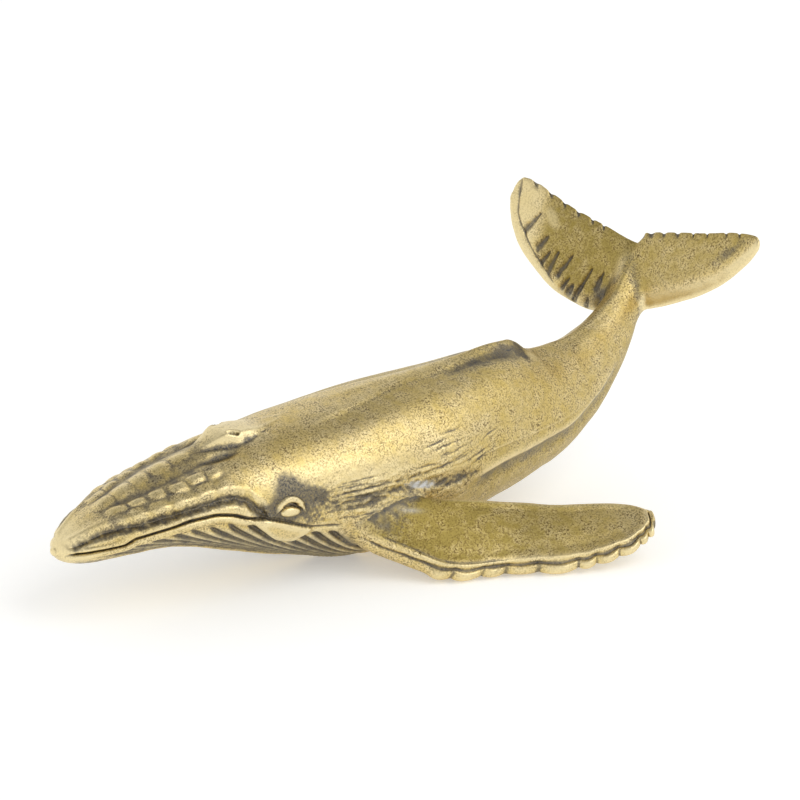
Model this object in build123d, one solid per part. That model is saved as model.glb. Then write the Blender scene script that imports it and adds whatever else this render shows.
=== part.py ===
from build123d import *

import os
from collections import namedtuple
from math import ceil, cos, degrees, pi, radians, sin, tan

# Humpback whale figurine in solid brass, swimming with its tail raised and turned to its right.
# Four castings, the trunk, two flippers and the tail flukes, meet at flat filed seats. A brass dowel
# lines up each joint and a thin film of solder holds it. The whale lies on a flat filed under its belly
# and on the leading edges of both flippers. Millimetres, +Z up, head towards -X, its left side towards -Y.

# Trunk sections, nose to tail: where each centre lies, its half width at the widest level, its height
# over and depth under that level, and how square its back and belly are (2 is an ellipse, less a ridge)
Station = namedtuple("Station", "x y z half_width rise depth crown keel")
STATIONS = [
    Station(-32.7, 0.0, 7.6, 0.6, 0.4, 0.5, 2.0, 2.0),
    Station(-32.4, 0.0, 7.7, 1.3, 0.7, 1.0, 2.2, 2.0),
    Station(-31.6, 0.0, 7.8, 2.3, 1.2, 1.5, 2.2, 2.0),
    Station(-29.8, 0.0, 8.2, 3.6, 1.9, 2.2, 2.2, 2.0),
    Station(-26.5, 0.0, 8.8, 4.9, 2.8, 2.7, 2.2, 2.0),
    Station(-21.0, 0.0, 9.6, 6.2, 3.8, 3.8, 2.1, 2.0),
    Station(-14.5, 0.0, 9.8, 7.2, 5.2, 6.0, 2.0, 2.0),
    Station(-8.0, 0.0, 9.7, 8.0, 6.2, 8.0, 2.0, 2.1),
    Station(0.0, 0.0, 9.6, 8.6, 7.3, 9.8, 2.0, 2.2),
    Station(9.0, 0.0, 9.7, 8.3, 7.8, 9.7, 1.9, 2.2),
    Station(18.0, 0.2, 10.1, 6.9, 7.8, 8.2, 1.8, 2.1),
    Station(25.0, 0.8, 10.1, 5.4, 6.6, 6.9, 1.8, 2.0),
    Station(31.0, 1.8, 11.2, 4.0, 5.2, 5.4, 1.8, 2.0),
    Station(36.0, 3.0, 13.4, 2.9, 4.0, 4.1, 1.8, 2.0),
    Station(40.0, 4.3, 16.4, 2.2, 2.8, 2.8, 1.9, 2.0),
    Station(42.4, 5.3, 19.3, 1.6, 1.8, 1.9, 2.0, 2.0),
    Station(43.6, 5.8, 21.8, 0.9, 1.0, 1.0, 2.0, 2.0),
]
LEAN_FROM, LEAN_TO = 12.0, 26.0  # the sections turn square to the spine between these X

# Mouth: its angle over the widest level along the head, and the slit between the lips
MOUTH_ANGLES = [
    (-32.7, -6.0), (-31.5, -2.0), (-28.0, -3.0), (-25.5, 3.0), (-19.0, 6.0), (-16.8, 2.0), (-14.5, -6.0),
    (-8.0, -19.0), (0.0, -22.0),
]
MOUTH_GAPE = 0.6
MOUTH_DEPTH = 0.4
MOUTH_END = -5.0
MOUTH_FADE = 4.0
MOUTH_SHARE = 0.25  # most of the half width that the slit may take

# Throat pleats, from the lower lip round to the middle of the belly
PLEATS_PER_SIDE = 6
PLEAT_DEPTH = 0.35
PLEATS_FROM, PLEATS_TO = -31.0, -1.0
PLEAT_FADE = 5.0
PLEAT_POWER_FRONT, PLEAT_POWER_BACK = 2.3, 0.6  # how far they close up to the belly, or to the lip
PLEAT_EVEN_SHARE = 0.4

# Eyes, each a ball under a fuller brow
EYE_X, EYE_ANGLE = -10.4, -4.0
EYE_RADIUS, EYE_SUNK = 0.9, 0.4
BROW_X, BROW_ANGLE = -10.2, 4.0
BROW_RADIUS, BROW_SUNK = 1.7, 1.45

# Blowhole crest
CREST_X = -12.9
CREST_RADIUS, CREST_PROUD = 3.6, 0.55
BLOWHOLE_LENGTH, BLOWHOLE_WIDTH, BLOWHOLE_DEPTH = 1.4, 0.45, 1.0
BLOWHOLES_APART, BLOWHOLE_SPLAY = 1.9, 20.0

# Dorsal fin: height of each level, its front and back end and its thickness
Level = namedtuple("Level", "z front back thickness")
FIN_LEVELS = [Level(16.0, 8.5, 25.0, 5.0), Level(17.5, 14.6, 24.1, 2.6), Level(18.35, 20.6, 23.3, 1.0)]
FIN_Y = 0.3

# Left flipper, from inside the shoulder to the tip: leading edge, trailing edge and thickness
FLIPPER_LEAD = [
    (-4.0, -4.6, 6.0), (-2.4, -7.6, 3.6), (0.7, -10.5, 1.9), (4.3, -14.0, 0.6), (9.6, -15.9, 0.5),
    (14.9, -18.7, 0.6), (19.6, -20.7, 1.3), (23.1, -21.4, 2.4), (25.2, -21.0, 3.6),
]
FLIPPER_TRAIL = [
    (1.0, -4.6, 9.0), (3.0, -7.6, 7.9), (6.4, -9.0, 7.1), (10.6, -10.4, 6.4), (14.6, -11.9, 5.7),
    (18.2, -14.0, 5.3), (21.8, -15.7, 5.2), (24.6, -17.5, 5.0), (25.8, -19.4, 4.7),
]
FLIPPER_THICKNESS = [3.6, 3.2, 2.8, 2.4, 2.1, 1.8, 1.5, 1.2, 0.8]
FLIPPER_SEAT = 2.25  # the flat seat, counted along those points

# Knobs that scallop each flipper's leading edge
KNOBS = 10
KNOBS_FROM, KNOBS_TO = 2.9, 8.0
KNOB_PROUD = 0.4
KNOB_ROUNDNESS = 0.7  # 1 is a sine wave, less has sharper valleys
KNOB_SECTIONS = 3

# Tail flukes: root of the leading edges from the end of the tail stock, how the blade is turned, and each
# fluke's ribs from notch to tip
FLUKE_ROOT = (-1.6, -0.4, -5.3)
FLUKE_YAW, FLUKE_PITCH, FLUKE_ROLL = 16.0, 73.0, -7.0
FLUKE_DIHEDRAL = 6.0
Rib = namedtuple("Rib", "out lead trail thickness")
LEFT_RIBS = [
    Rib(0.0, 0.2, 7.5, 2.4), Rib(0.7, 0.0, 8.7, 2.3), Rib(3.6, 0.9, 9.3, 2.0), Rib(8.1, 2.9, 10.1, 1.6),
    Rib(11.6, 5.2, 10.8, 1.3), Rib(13.6, 7.4, 11.0, 1.0), Rib(14.8, 9.4, 10.5, 0.7),
]
RIGHT_RIBS = [
    Rib(0.0, 0.2, 7.5, 2.4), Rib(0.7, -0.1, 7.6, 2.3), Rib(3.6, -0.8, 8.5, 2.0), Rib(7.8, 0.2, 9.7, 1.6),
    Rib(11.2, 2.4, 10.9, 1.3), Rib(13.6, 4.6, 11.9, 1.1), Rib(15.0, 6.7, 11.8, 0.9), Rib(15.5, 8.8, 10.9, 0.7),
]

# Joints
TAIL_STUB = 5.2  # tail stock cast with the flukes, counted along X from its seat
SOLDER_FILM = 0.2
DOWEL_RADIUS, DOWEL_REACH = 0.75, 3.0
DOWEL_CLEARANCE = 0.05

BLADE_FULLNESS = 0.35  # how far a blade's thickest line lies towards its leading edge
BLADE_EDGE = 20.0  # where its bevelled edges begin, as an angle of its outline
BACK_ARCS, TAIL_SIDES, BLADE_SIDES = 12, 20, 4
SECTION_STEP = 3.0  # most that trunk sections lie apart
NEARBY = 0.2  # distance to the neighbours that give a direction along a curve


# Curves
def smooth_step(value):
    value = min(max(value, 0.0), 1.0)
    return value * value * (3 - 2 * value)


def between(xs, ys, x):
    """Value at x on a curve through the points that never overshoots them."""
    x = min(max(x, xs[0]), xs[-1])
    rates = [(ys[i + 1] - ys[i]) / (xs[i + 1] - xs[i]) for i in range(len(xs) - 1)]
    inner = [0.0 if a * b <= 0 else 2 * a * b / (a + b) for a, b in zip(rates, rates[1:])]
    slopes = [rates[0], *inner, rates[-1]]
    i = max(k for k in range(len(rates)) if xs[k] <= x)
    step = xs[i + 1] - xs[i]
    t = (x - xs[i]) / step
    start = (1 - t) ** 2 * ((1 + 2 * t) * ys[i] + t * step * slopes[i])
    return start + t * t * ((3 - 2 * t) * ys[i + 1] - (1 - t) * step * slopes[i + 1])


def point_along(points, place):
    """Point on a curve through 3D points, counted along them."""
    counts = list(range(len(points)))
    return Vector(*(between(counts, column, place) for column in zip(*points)))


def arc_through(start, end, point_at):
    """Arc between two marks that bulges through the point halfway."""
    return Edge.make_three_point_arc(point_at(start), point_at((start + end) / 2), point_at(end))


def lines_through(points):
    return [Edge.make_line(start, end) for start, end in zip(points, points[1:])]


def blade_section(lead, trail, normal, thickness):
    """Closed outline of a blade: two curved sides, fullest near the leading edge, and bevelled edges."""
    middle = (lead + trail) * 0.5
    half_chord = (trail - lead) * 0.5

    def point_at(degree):
        angle = radians(degree)
        swell = thickness / 2 * sin(angle) * (1 - BLADE_FULLNESS * cos(angle))
        return middle + half_chord * cos(angle) + normal * swell

    side = [BLADE_EDGE + (180 - 2 * BLADE_EDGE) * i / BLADE_SIDES for i in range(BLADE_SIDES + 1)]
    upper = [point_at(angle) for angle in side]
    lower = [point_at(angle + 180) for angle in side]
    return Wire(lines_through([trail, *upper, lead, *lower, trail]))


# Trunk
STATION_XS = [station.x for station in STATIONS]
STATION_COLUMNS = list(zip(*STATIONS))
TAIL_SEAT_X = STATION_XS[-1] - TAIL_STUB


def station_at(x):
    return Station(*(between(STATION_XS, column, x) for column in STATION_COLUMNS))


def section_plane(x):
    """Plane of the section at x: local X across to the right side, local Y up, local Z to the tail."""
    ahead, behind = station_at(x - NEARBY), station_at(x + NEARBY)
    spine = Vector(behind.x - ahead.x, behind.y - ahead.y, behind.z - ahead.z).normalized()
    lean = smooth_step((x - LEAN_FROM) / (LEAN_TO - LEAN_FROM))
    normal = spine * lean + Vector(1, 0, 0) * (1 - lean)
    here = station_at(x)
    return Plane((here.x, here.y, here.z), x_dir=Vector(0, 0, 1).cross(normal), z_dir=normal)


def section_point(x, angle, inset=0.0):
    """Point on the section at x, by angle from its right side over the back, brought in by inset."""
    station = station_at(x)
    c, s = cos(radians(angle)), sin(radians(angle))
    power = 2 / (station.crown if s >= 0 else station.keel)
    across = station.half_width * abs(c) ** power * (1 if c >= 0 else -1)
    up = station.rise * s**power if s >= 0 else -station.depth * abs(s) ** power
    share = 1 - inset / station.half_width
    return section_plane(x).from_local_coords(Vector(across * share, up * share, 0))


def skin_plane(x, angle):
    """Plane that touches the trunk: local X to the tail, local Z out of the skin."""
    along = section_point(x + NEARBY, angle) - section_point(x - NEARBY, angle)
    around = section_point(x, angle + 1) - section_point(x, angle - 1)
    return Plane(section_point(x, angle), x_dir=along, z_dir=around.cross(along))


def mouth_angle(x):
    xs, angles = zip(*MOUTH_ANGLES)
    return between(xs, angles, x)


def lip_angle(x):
    """Half the mouth's gape, as an angle of the section."""
    return degrees(MOUTH_GAPE / 2 / station_at(x).half_width)


def pleat_marks(x):
    """Angles of the grooves from the left lip under the belly to the right lip.

    They run back and down from the lip, so they crowd under it in front and on the belly behind.
    """
    lip = mouth_angle(x) - lip_angle(x)
    run = smooth_step((x - PLEATS_FROM) / (PLEATS_TO - PLEATS_FROM))
    power = PLEAT_POWER_FRONT + (PLEAT_POWER_BACK - PLEAT_POWER_FRONT) * run
    shares = [j / PLEATS_PER_SIDE for j in range(PLEATS_PER_SIDE + 1)]
    spread = [PLEAT_EVEN_SHARE * share + (1 - PLEAT_EVEN_SHARE) * share**power for share in shares]
    drops = [(lip + 90) * share for share in spread]
    return [180 - lip + drop for drop in drops] + [360 + lip - drop for drop in reversed(drops[:-1])]


def trunk_section(x):
    """Closed outline: over the back from lip to lip, into each slit of the mouth, along the pleats."""
    mouth, gape = mouth_angle(x), lip_angle(x)
    upper, lower = mouth + gape, mouth - gape
    slit = min(MOUTH_DEPTH, station_at(x).half_width * MOUTH_SHARE) * smooth_step((MOUTH_END - x) / MOUTH_FADE)
    fade = smooth_step((x - PLEATS_FROM) / PLEAT_FADE) * smooth_step((PLEATS_TO - x) / PLEAT_FADE)
    back = [upper + (180 - 2 * upper) * i / BACK_ARCS for i in range(BACK_ARCS + 1)]
    over = [arc_through(*pair, lambda angle: section_point(x, angle)) for pair in zip(back, back[1:])]
    pleats = pleat_marks(x)
    under = [section_point(x, 180 - upper), section_point(x, 180 - mouth, slit), section_point(x, pleats[0])]
    for groove, following in zip(pleats, pleats[1:]):
        under.append(section_point(x, (groove + following) / 2))
        under.append(section_point(x, following, PLEAT_DEPTH * fade))
    under[-1] = section_point(x, lower)
    under += [section_point(x, mouth, slit), section_point(x, upper)]
    return Wire([*over, *lines_through(under)])


def spread(start, end):
    """X of the sections between two places on the spine: at the stations, and evenly between them."""
    marks = [start, *(x for x in STATION_XS if start < x < end), end]
    xs = [start]
    for front, back in zip(marks, marks[1:]):
        count = ceil((back - front) / SECTION_STEP)
        xs += [front + (back - front) * (i + 1) / count for i in range(count)]
    return xs


def trunk_body():
    return Solid.make_loft([trunk_section(x) for x in spread(STATION_XS[0], TAIL_SEAT_X)], ruled=True)


def tail_section(x):
    """Closed outline of the bare tail stock."""
    return Wire(lines_through([section_point(x, 360 * i / TAIL_SIDES) for i in range(TAIL_SIDES + 1)]))


def tail_stub():
    xs = spread(TAIL_SEAT_X + SOLDER_FILM, STATION_XS[-1])
    return Solid.make_loft([tail_section(x) for x in xs], ruled=True)


def tail_film():
    ends = [TAIL_SEAT_X, TAIL_SEAT_X + SOLDER_FILM]
    return Solid.make_loft([tail_section(x) for x in ends], ruled=True)


def dome(plane, radius, proud):
    """Ball that stands proud of a plane, with its seam turned into the trunk."""
    centre = plane.origin + plane.z_dir * (proud - radius)
    return Plane(centre, x_dir=plane.z_dir * -1, z_dir=plane.x_dir) * Sphere(radius)


def eyes():
    pieces = []
    for side in (0, 180):
        turn = 1 if side == 0 else -1
        pieces.append(dome(skin_plane(EYE_X, side + turn * EYE_ANGLE), EYE_RADIUS, EYE_RADIUS - EYE_SUNK))
        pieces.append(dome(skin_plane(BROW_X, side + turn * BROW_ANGLE), BROW_RADIUS, BROW_RADIUS - BROW_SUNK))
    return pieces


def blowholes():
    top = skin_plane(CREST_X, 90).offset(CREST_PROUD - BLOWHOLE_DEPTH)
    pieces = []
    for side in (-1, 1):
        place = Pos(0, side * BLOWHOLES_APART / 2, 0) * Rot(0, 0, side * BLOWHOLE_SPLAY)
        pieces.append(top * place * extrude(SlotOverall(BLOWHOLE_LENGTH, BLOWHOLE_WIDTH), BLOWHOLE_DEPTH * 2))
    return pieces


def dorsal_fin():
    wires = []
    for level in FIN_LEVELS:
        front, back = Vector(level.front, FIN_Y, level.z), Vector(level.back, FIN_Y, level.z)
        wires.append(blade_section(back, front, Vector(0, 1, 0), level.thickness))
    return Solid.make_loft(wires, ruled=True)


# Flippers
def flipper_frame(place):
    """Leading and trailing point, direction out along the span and normal of the flipper there."""
    lead, trail = point_along(FLIPPER_LEAD, place), point_along(FLIPPER_TRAIL, place)
    inner, outer = max(place - NEARBY, 0), min(place + NEARBY, len(FLIPPER_LEAD) - 1)
    middle_in = point_along(FLIPPER_LEAD, inner) + point_along(FLIPPER_TRAIL, inner)
    middle_out = point_along(FLIPPER_LEAD, outer) + point_along(FLIPPER_TRAIL, outer)
    span = (middle_out - middle_in).normalized()
    return lead, trail, span, (trail - lead).cross(span).normalized()


def scallop(place):
    """How far the leading edge stands out there: a row of round knobs with sharp valleys."""
    count = (place - KNOBS_FROM) / (KNOBS_TO - KNOBS_FROM) * KNOBS
    return KNOB_PROUD * abs(sin(pi * count)) ** KNOB_ROUNDNESS if count > 0 else 0.0


def flipper_blade():
    """The left flipper with its knobs, reaching into the shoulder."""
    counts = list(range(len(FLIPPER_THICKNESS)))
    steps = round(KNOBS * KNOB_SECTIONS)
    places = [place for place in counts if place < KNOBS_FROM]
    places += [KNOBS_FROM + (KNOBS_TO - KNOBS_FROM) * i / steps for i in range(steps + 1)]
    wires = []
    for place in places:
        lead, trail, _, normal = flipper_frame(place)
        lead = lead + (lead - trail).normalized() * scallop(place)
        wires.append(blade_section(lead, trail, normal, between(counts, FLIPPER_THICKNESS, place)))
    return Solid.make_loft(wires, ruled=True)


def flipper_seat():
    """Plane of the filed seat, facing out along the flipper, and the dowel's axis through it."""
    lead, trail, span, normal = flipper_frame(FLIPPER_SEAT)
    middle = (lead + trail) * 0.5
    facing = normal.cross(trail - lead)
    if facing.dot(span) < 0:
        facing = facing * -1
    return Plane(middle, x_dir=trail - lead, z_dir=facing), Plane(middle, z_dir=span)


# Tail flukes
def fluke_axes():
    """Directions towards the left tip, towards the trailing edge and out of the upper side."""
    yaw, pitch, roll = radians(FLUKE_YAW), radians(FLUKE_PITCH), radians(FLUKE_ROLL)
    heading = Vector(cos(yaw), sin(yaw), 0)
    left = Vector(sin(yaw), -cos(yaw), 0)
    up = Vector(0, 0, 1)
    aft = heading * cos(pitch) + up * sin(pitch)
    above = up * cos(pitch) - heading * sin(pitch)
    return left * cos(roll) + above * sin(roll), aft, above * cos(roll) - left * sin(roll)


def fluke(ribs, side):
    """One fluke, on the left for side 1 and on the right for side -1."""
    left, aft, above = fluke_axes()
    tail_end = STATIONS[-1]
    root = Vector(tail_end.x, tail_end.y, tail_end.z) + Vector(*FLUKE_ROOT)
    wires = []
    for rib in ribs:
        base = root + left * (side * rib.out) + above * (rib.out * tan(radians(FLUKE_DIHEDRAL)))
        wires.append(blade_section(base + aft * rib.lead, base + aft * rib.trail, above, rib.thickness))
    return Solid.make_loft(wires, ruled=True)


# Joints
def keep_side(shape, plane, keep):
    return split(shape, bisect_by=plane, keep=keep).solid()


def part_at_seat(shape, seat):
    """Split a shape at a seat into its near piece, the film of solder and its far piece."""
    far_seat = seat.offset(SOLDER_FILM)
    beyond = keep_side(shape, seat, Keep.TOP)
    film = keep_side(beyond, far_seat, Keep.BOTTOM)
    return keep_side(shape, seat, Keep.BOTTOM), film, keep_side(beyond, far_seat, Keep.TOP)


def dowel(axis, clearance=0.0):
    return (axis * Cylinder(DOWEL_RADIUS + clearance, 2 * (DOWEL_REACH + clearance))).solid()


def mirrored(shape):
    return mirror(shape, about=Plane.XZ)


def tail_seat():
    return section_plane(TAIL_SEAT_X)


def build():
    flukes = tail_stub().fuse(fluke(LEFT_RIBS, 1), fluke(RIGHT_RIBS, -1))

    seat, axis = flipper_seat()
    shoulder, flipper_film, flipper = part_at_seat(flipper_blade(), seat)
    crest = dome(skin_plane(CREST_X, 90), CREST_RADIUS, CREST_PROUD)
    raised = [*eyes(), crest, dorsal_fin(), shoulder, mirrored(shoulder)]
    trunk = Part() + trunk_body() + raised
    trunk = trunk - blowholes()

    flipper_hole = dowel(axis, DOWEL_CLEARANCE)
    tail_hole = dowel(tail_seat(), DOWEL_CLEARANCE)
    trunk = trunk - [flipper_hole, mirrored(flipper_hole), tail_hole]
    trunk = keep_side(trunk, Plane.XY, Keep.TOP)
    flipper = keep_side(flipper - flipper_hole, Plane.XY, Keep.TOP)
    flipper_film = flipper_film - flipper_hole
    return {
        "trunk": trunk,
        "left_flipper": flipper,
        "right_flipper": mirrored(flipper),
        "tail_flukes": flukes - tail_hole,
        "left_flipper_dowel": dowel(axis),
        "right_flipper_dowel": mirrored(dowel(axis)),
        "tail_dowel": dowel(tail_seat()),
        "left_flipper_solder": flipper_film,
        "right_flipper_solder": mirrored(flipper_film),
        "tail_solder": tail_film() - tail_hole,
    }


def main():
    pieces = build()
    box = Compound(children=[Part(piece.wrapped) for piece in pieces.values()]).bounding_box()
    to_origin = Pos(-box.center().X, -box.center().Y, -box.min.Z)
    os.makedirs("parts", exist_ok=True)
    for name, piece in pieces.items():
        export_step(to_origin * piece, f"parts/{name}.step")


if __name__ == "__main__":
    main()
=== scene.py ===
from collections import namedtuple
from math import cos, pi, radians, sin, tan
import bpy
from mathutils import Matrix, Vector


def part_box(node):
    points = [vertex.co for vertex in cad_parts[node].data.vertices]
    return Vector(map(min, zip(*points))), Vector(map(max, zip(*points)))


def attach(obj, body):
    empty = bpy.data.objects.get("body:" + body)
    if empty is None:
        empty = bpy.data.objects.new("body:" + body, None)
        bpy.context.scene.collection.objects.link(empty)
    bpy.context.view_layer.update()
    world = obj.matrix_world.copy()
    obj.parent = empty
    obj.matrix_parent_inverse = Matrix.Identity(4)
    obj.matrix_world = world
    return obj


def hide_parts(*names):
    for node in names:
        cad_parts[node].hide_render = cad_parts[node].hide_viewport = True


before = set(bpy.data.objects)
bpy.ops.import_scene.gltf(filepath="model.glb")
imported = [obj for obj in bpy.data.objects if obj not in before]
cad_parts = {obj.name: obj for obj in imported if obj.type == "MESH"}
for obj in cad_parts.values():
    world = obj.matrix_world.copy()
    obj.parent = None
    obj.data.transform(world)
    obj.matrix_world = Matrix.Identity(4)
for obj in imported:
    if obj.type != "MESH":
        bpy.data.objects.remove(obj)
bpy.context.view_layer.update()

from types import SimpleNamespace

import bmesh
import bpy
import numpy as np
from bpy.props import FloatProperty, FloatVectorProperty, PointerProperty
from mathutils import Matrix, Vector
from mathutils.kdtree import KDTree

bl_info = {
    "name": "Brass Whale",
    "version": (1, 0, 0),
    "blender": (4, 5, 0),
    "location": "3D View > Sidebar > Whale",
    "description": "Carves and finishes a small solid brass humpback whale around its CAD frame",
    "category": "Add Mesh",
}

# The frame, in metres. Everything below is modelled in millimetres, in the whale's own axes: its head
# towards -X, its left side towards -Y and the floor under the middle of its belly at the origin.
MM = 0.001
BODY = "root"


def linear(hex_colour):
    """Scene linear red, green and blue of an sRGB hex colour."""
    shares = [int(hex_colour[i : i + 2], 16) / 255 for i in (1, 3, 5)]
    return tuple(c / 12.92 if c <= 0.04045 else ((c + 0.055) / 1.055) ** 2.4 for c in shares)


# Trunk sections, nose to tail: where each centre lies, its half width at the widest level, its height
# over and depth under that level, and how square its back and belly are
STATIONS = np.array([
    (-32.7, 0.0, 7.6, 0.6, 0.4, 0.5, 2.0, 2.0),
    (-32.4, 0.0, 7.7, 1.3, 0.7, 1.0, 2.2, 2.0),
    (-31.6, 0.0, 7.8, 2.3, 1.2, 1.5, 2.2, 2.0),
    (-29.8, 0.0, 8.2, 3.6, 1.9, 2.2, 2.2, 2.0),
    (-26.5, 0.0, 8.8, 4.9, 2.8, 2.7, 2.2, 2.0),
    (-21.0, 0.0, 9.6, 6.2, 3.8, 3.8, 2.1, 2.0),
    (-14.5, 0.0, 9.8, 7.2, 5.2, 6.0, 2.0, 2.0),
    (-8.0, 0.0, 9.7, 8.0, 6.2, 8.0, 2.0, 2.1),
    (0.0, 0.0, 9.6, 8.6, 7.3, 9.8, 2.0, 2.2),
    (9.0, 0.0, 9.7, 8.3, 7.8, 9.7, 1.9, 2.2),
    (18.0, 0.2, 10.1, 6.9, 7.8, 8.2, 1.8, 2.1),
    (25.0, 0.8, 10.1, 5.4, 6.6, 6.9, 1.8, 2.0),
    (31.0, 1.8, 11.2, 4.0, 5.2, 5.4, 1.8, 2.0),
    (36.0, 3.0, 13.4, 2.9, 4.0, 4.1, 1.8, 2.0),
    (40.0, 4.3, 16.4, 2.2, 2.8, 2.8, 1.9, 2.0),
    (42.4, 5.3, 19.3, 1.6, 1.8, 1.9, 2.0, 2.0),
    (43.6, 5.8, 21.8, 0.9, 1.0, 1.0, 2.0, 2.0),
])
NOSE_X, STOCK_END_X = STATIONS[0, 0], STATIONS[-1, 0]
LEAN_FROM, LEAN_TO = 12.0, 26.0
TAIL_SEAT_X = 38.4
SOLDER_FILM = 0.2
# Points in a section of the trunk, and the spacing of the rows at the tail joint, which lies on one of them
COLUMNS, TAIL_STEP = 440, 0.2
# How far off a row may lie and still count as being at a place
SLACK = 0.01
LAST_TO_FIRST = np.s_[::-1]
DOWELS = ("left_flipper_dowel", "right_flipper_dowel", "tail_dowel")

# Where the whale's own axes lie in the frame
SHIFT = np.array([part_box("trunk")[0].x / MM - NOSE_X, 0.0, 0.0])

# Lines on the head and flank: X along the trunk, and degrees above its widest level
LIP_GROOVE = [(-32.2, 28), (-30.9, 38), (-29.7, 41), (-28.3, 39), (-26.7, 30), (-24.9, 24), (-22.0, 21),
              (-18.0, 22), (-16.5, 21), (-15.0, 14), (-14.0, 3), (-13.0, -5)]
MOUTH_LINE = [(-32.6, -23), (-32.0, -6), (-31.5, -2), (-27.7, -4), (-26.2, 3), (-23.0, 3), (-20.6, 6),
              (-18.7, 6), (-16.8, 2), (-14.7, -6), (-11.9, -11), (-9.8, -16), (-7.4, -20), (-5.0, -20)]
LIP_CREASE = [(-30.9, 16), (-28.8, 11), (-27.5, 13)]
CHEEK_FOOT = [(-15.0, -8), (-13.2, -22), (-11.2, -33), (-9.8, -34), (-8.7, -29), (-7.4, -20)]
EYE = (-10.35, -4.0)
SHOULDER_BAND = [(-8.5, 3), (-4.0, 0), (0.0, -3), (5.0, -5), (9.0, -6), (12.0, -7)]
SHOULDER_SEAM = [(-8.5, 6), (-5.0, -5), (-1.6, -5), (2.4, -2.5), (6.0, -5), (9.5, -7), (12.8, -9)]
# Line of a painted highlight: a bright band painted along the flank over the eye and shoulder
SHOULDER_PAINTED_HIGHLIGHT = [(-14.0, 24), (-8.0, 22), (0.0, 14), (5.0, 12)]
FLANK_EDGE = [(9.0, -11), (13.0, -10), (19.0, -9), (25.0, -8), (31.0, -5), (38.0, -2)]
FIN_RECESS = [(11.5, 71), (16.0, 76), (20.0, 77), (24.4, 75)]
BACK_VALLEY = [(-7.0, 62), (-2.0, 65), (2.0, 70), (5.0, 74), (9.0, 77), (15.0, 77)]
WRINKLES = [
    [(-8.4, 2), (-6.0, 6), (-3.8, 6), (2.5, 3)], [(-8.0, -3), (-4.3, 1), (0.5, 2), (4.0, 0)],
    [(-7.6, -7), (-4.3, -5), (-0.2, -3), (3.0, -4)], [(-6.8, -11), (-4.8, -9), (1.0, -9)],
    [(-6.0, -15), (-3.0, -14), (1.0, -14)], [(-6.6, 9), (-3.0, 11), (1.0, 9)],
    [(-7.2, 4), (-4.6, 8), (-1.0, 8)], [(-6.4, -1), (-3.2, -2), (1.6, -1)],
    [(-5.6, -6), (-2.2, -8), (2.0, -6)],
    [(7.4, 27), (11.6, 29)], [(5.2, 15), (8.8, 19), (11.5, 20)], [(5.6, 8), (10.4, 14), (13.0, 18)],
    [(8.8, -2), (12.0, 3), (15.4, 9)], [(3.0, 9), (6.5, 7), (9.0, 9)], [(4.5, 19), (8.0, 23), (10.0, 24)],
    [(9.6, -5), (13.0, 0), (16.0, 6)], [(0.8, -1), (2.7, 0), (4.7, 2), (8.3, 4), (11.3, 8), (16.2, 15)],
    [(11.8, 10), (14.4, 16), (17.0, 20)], [(6.8, 11), (9.6, 15)], [(7.6, 3), (10.2, 8), (12.4, 12)],
]

# Flipper and fluke outlines, as in the castings
FLIPPER_LEAD = np.array([
    (-4.0, -4.6, 6.0), (-2.4, -7.6, 3.6), (0.7, -10.5, 1.9), (4.3, -14.0, 0.6), (9.6, -15.9, 0.5),
    (14.9, -18.7, 0.6), (19.6, -20.7, 1.3), (23.1, -21.4, 2.4), (25.2, -21.0, 3.6),
])
FLIPPER_TRAIL = np.array([
    (1.0, -4.6, 9.0), (3.0, -7.6, 7.9), (6.4, -9.0, 7.1), (10.6, -10.4, 6.4), (14.6, -11.9, 5.7),
    (18.2, -14.0, 5.3), (21.8, -15.7, 5.2), (24.6, -17.5, 5.0), (25.8, -19.4, 4.7),
])
FLIPPER_THICKNESS = np.array([3.6, 3.2, 2.8, 2.4, 2.1, 1.8, 1.5, 1.2, 0.8])
# Places along the flipper count the points of its edges: the filed seat, where the solder ends, and the tip
FLIPPER_SEAT, FLIPPER_FILM_END, FLIPPER_TIP = 2.25, 2.29, len(FLIPPER_LEAD) - 1
KNOBS, KNOBS_FROM, KNOBS_TO = 10, 2.5, 8.0
FLUKE_ROOT = np.array([42.0, 5.4, 16.5])
FLUKE_YAW, FLUKE_PITCH, FLUKE_ROLL, FLUKE_DIHEDRAL = 16.0, 73.0, -7.0, 6.0
# Ribs of both flukes in one row, right tip to left tip: place, leading and trailing edge, thickness
FLUKE_RIBS = np.array([
    (-15.45, 9.0, 10.2, 0.6), (-15.38, 8.4, 10.75, 0.75), (-15.25, 7.9, 11.1, 0.8),
    (-15.0, 7.2, 11.55, 0.85), (-14.4, 6.0, 12.0, 1.0), (-13.6, 4.75, 11.95, 1.1), (-11.2, 2.45, 11.05, 1.3),
    (-7.8, 0.2, 9.7, 1.6), (-3.6, -0.8, 8.5, 2.0), (-0.7, -0.1, 7.6, 2.3), (0.0, 0.2, 7.5, 2.4),
    (0.7, 0.0, 8.7, 2.3), (3.6, 0.9, 9.3, 2.0), (8.1, 2.9, 10.1, 1.6), (11.6, 5.2, 10.8, 1.3),
    (13.6, 7.4, 11.0, 1.0), (14.3, 8.3, 10.95, 0.8), (14.65, 8.9, 10.8, 0.75), (14.8, 9.25, 10.6, 0.7),
])
BLADE_FULLNESS = 0.35

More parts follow.
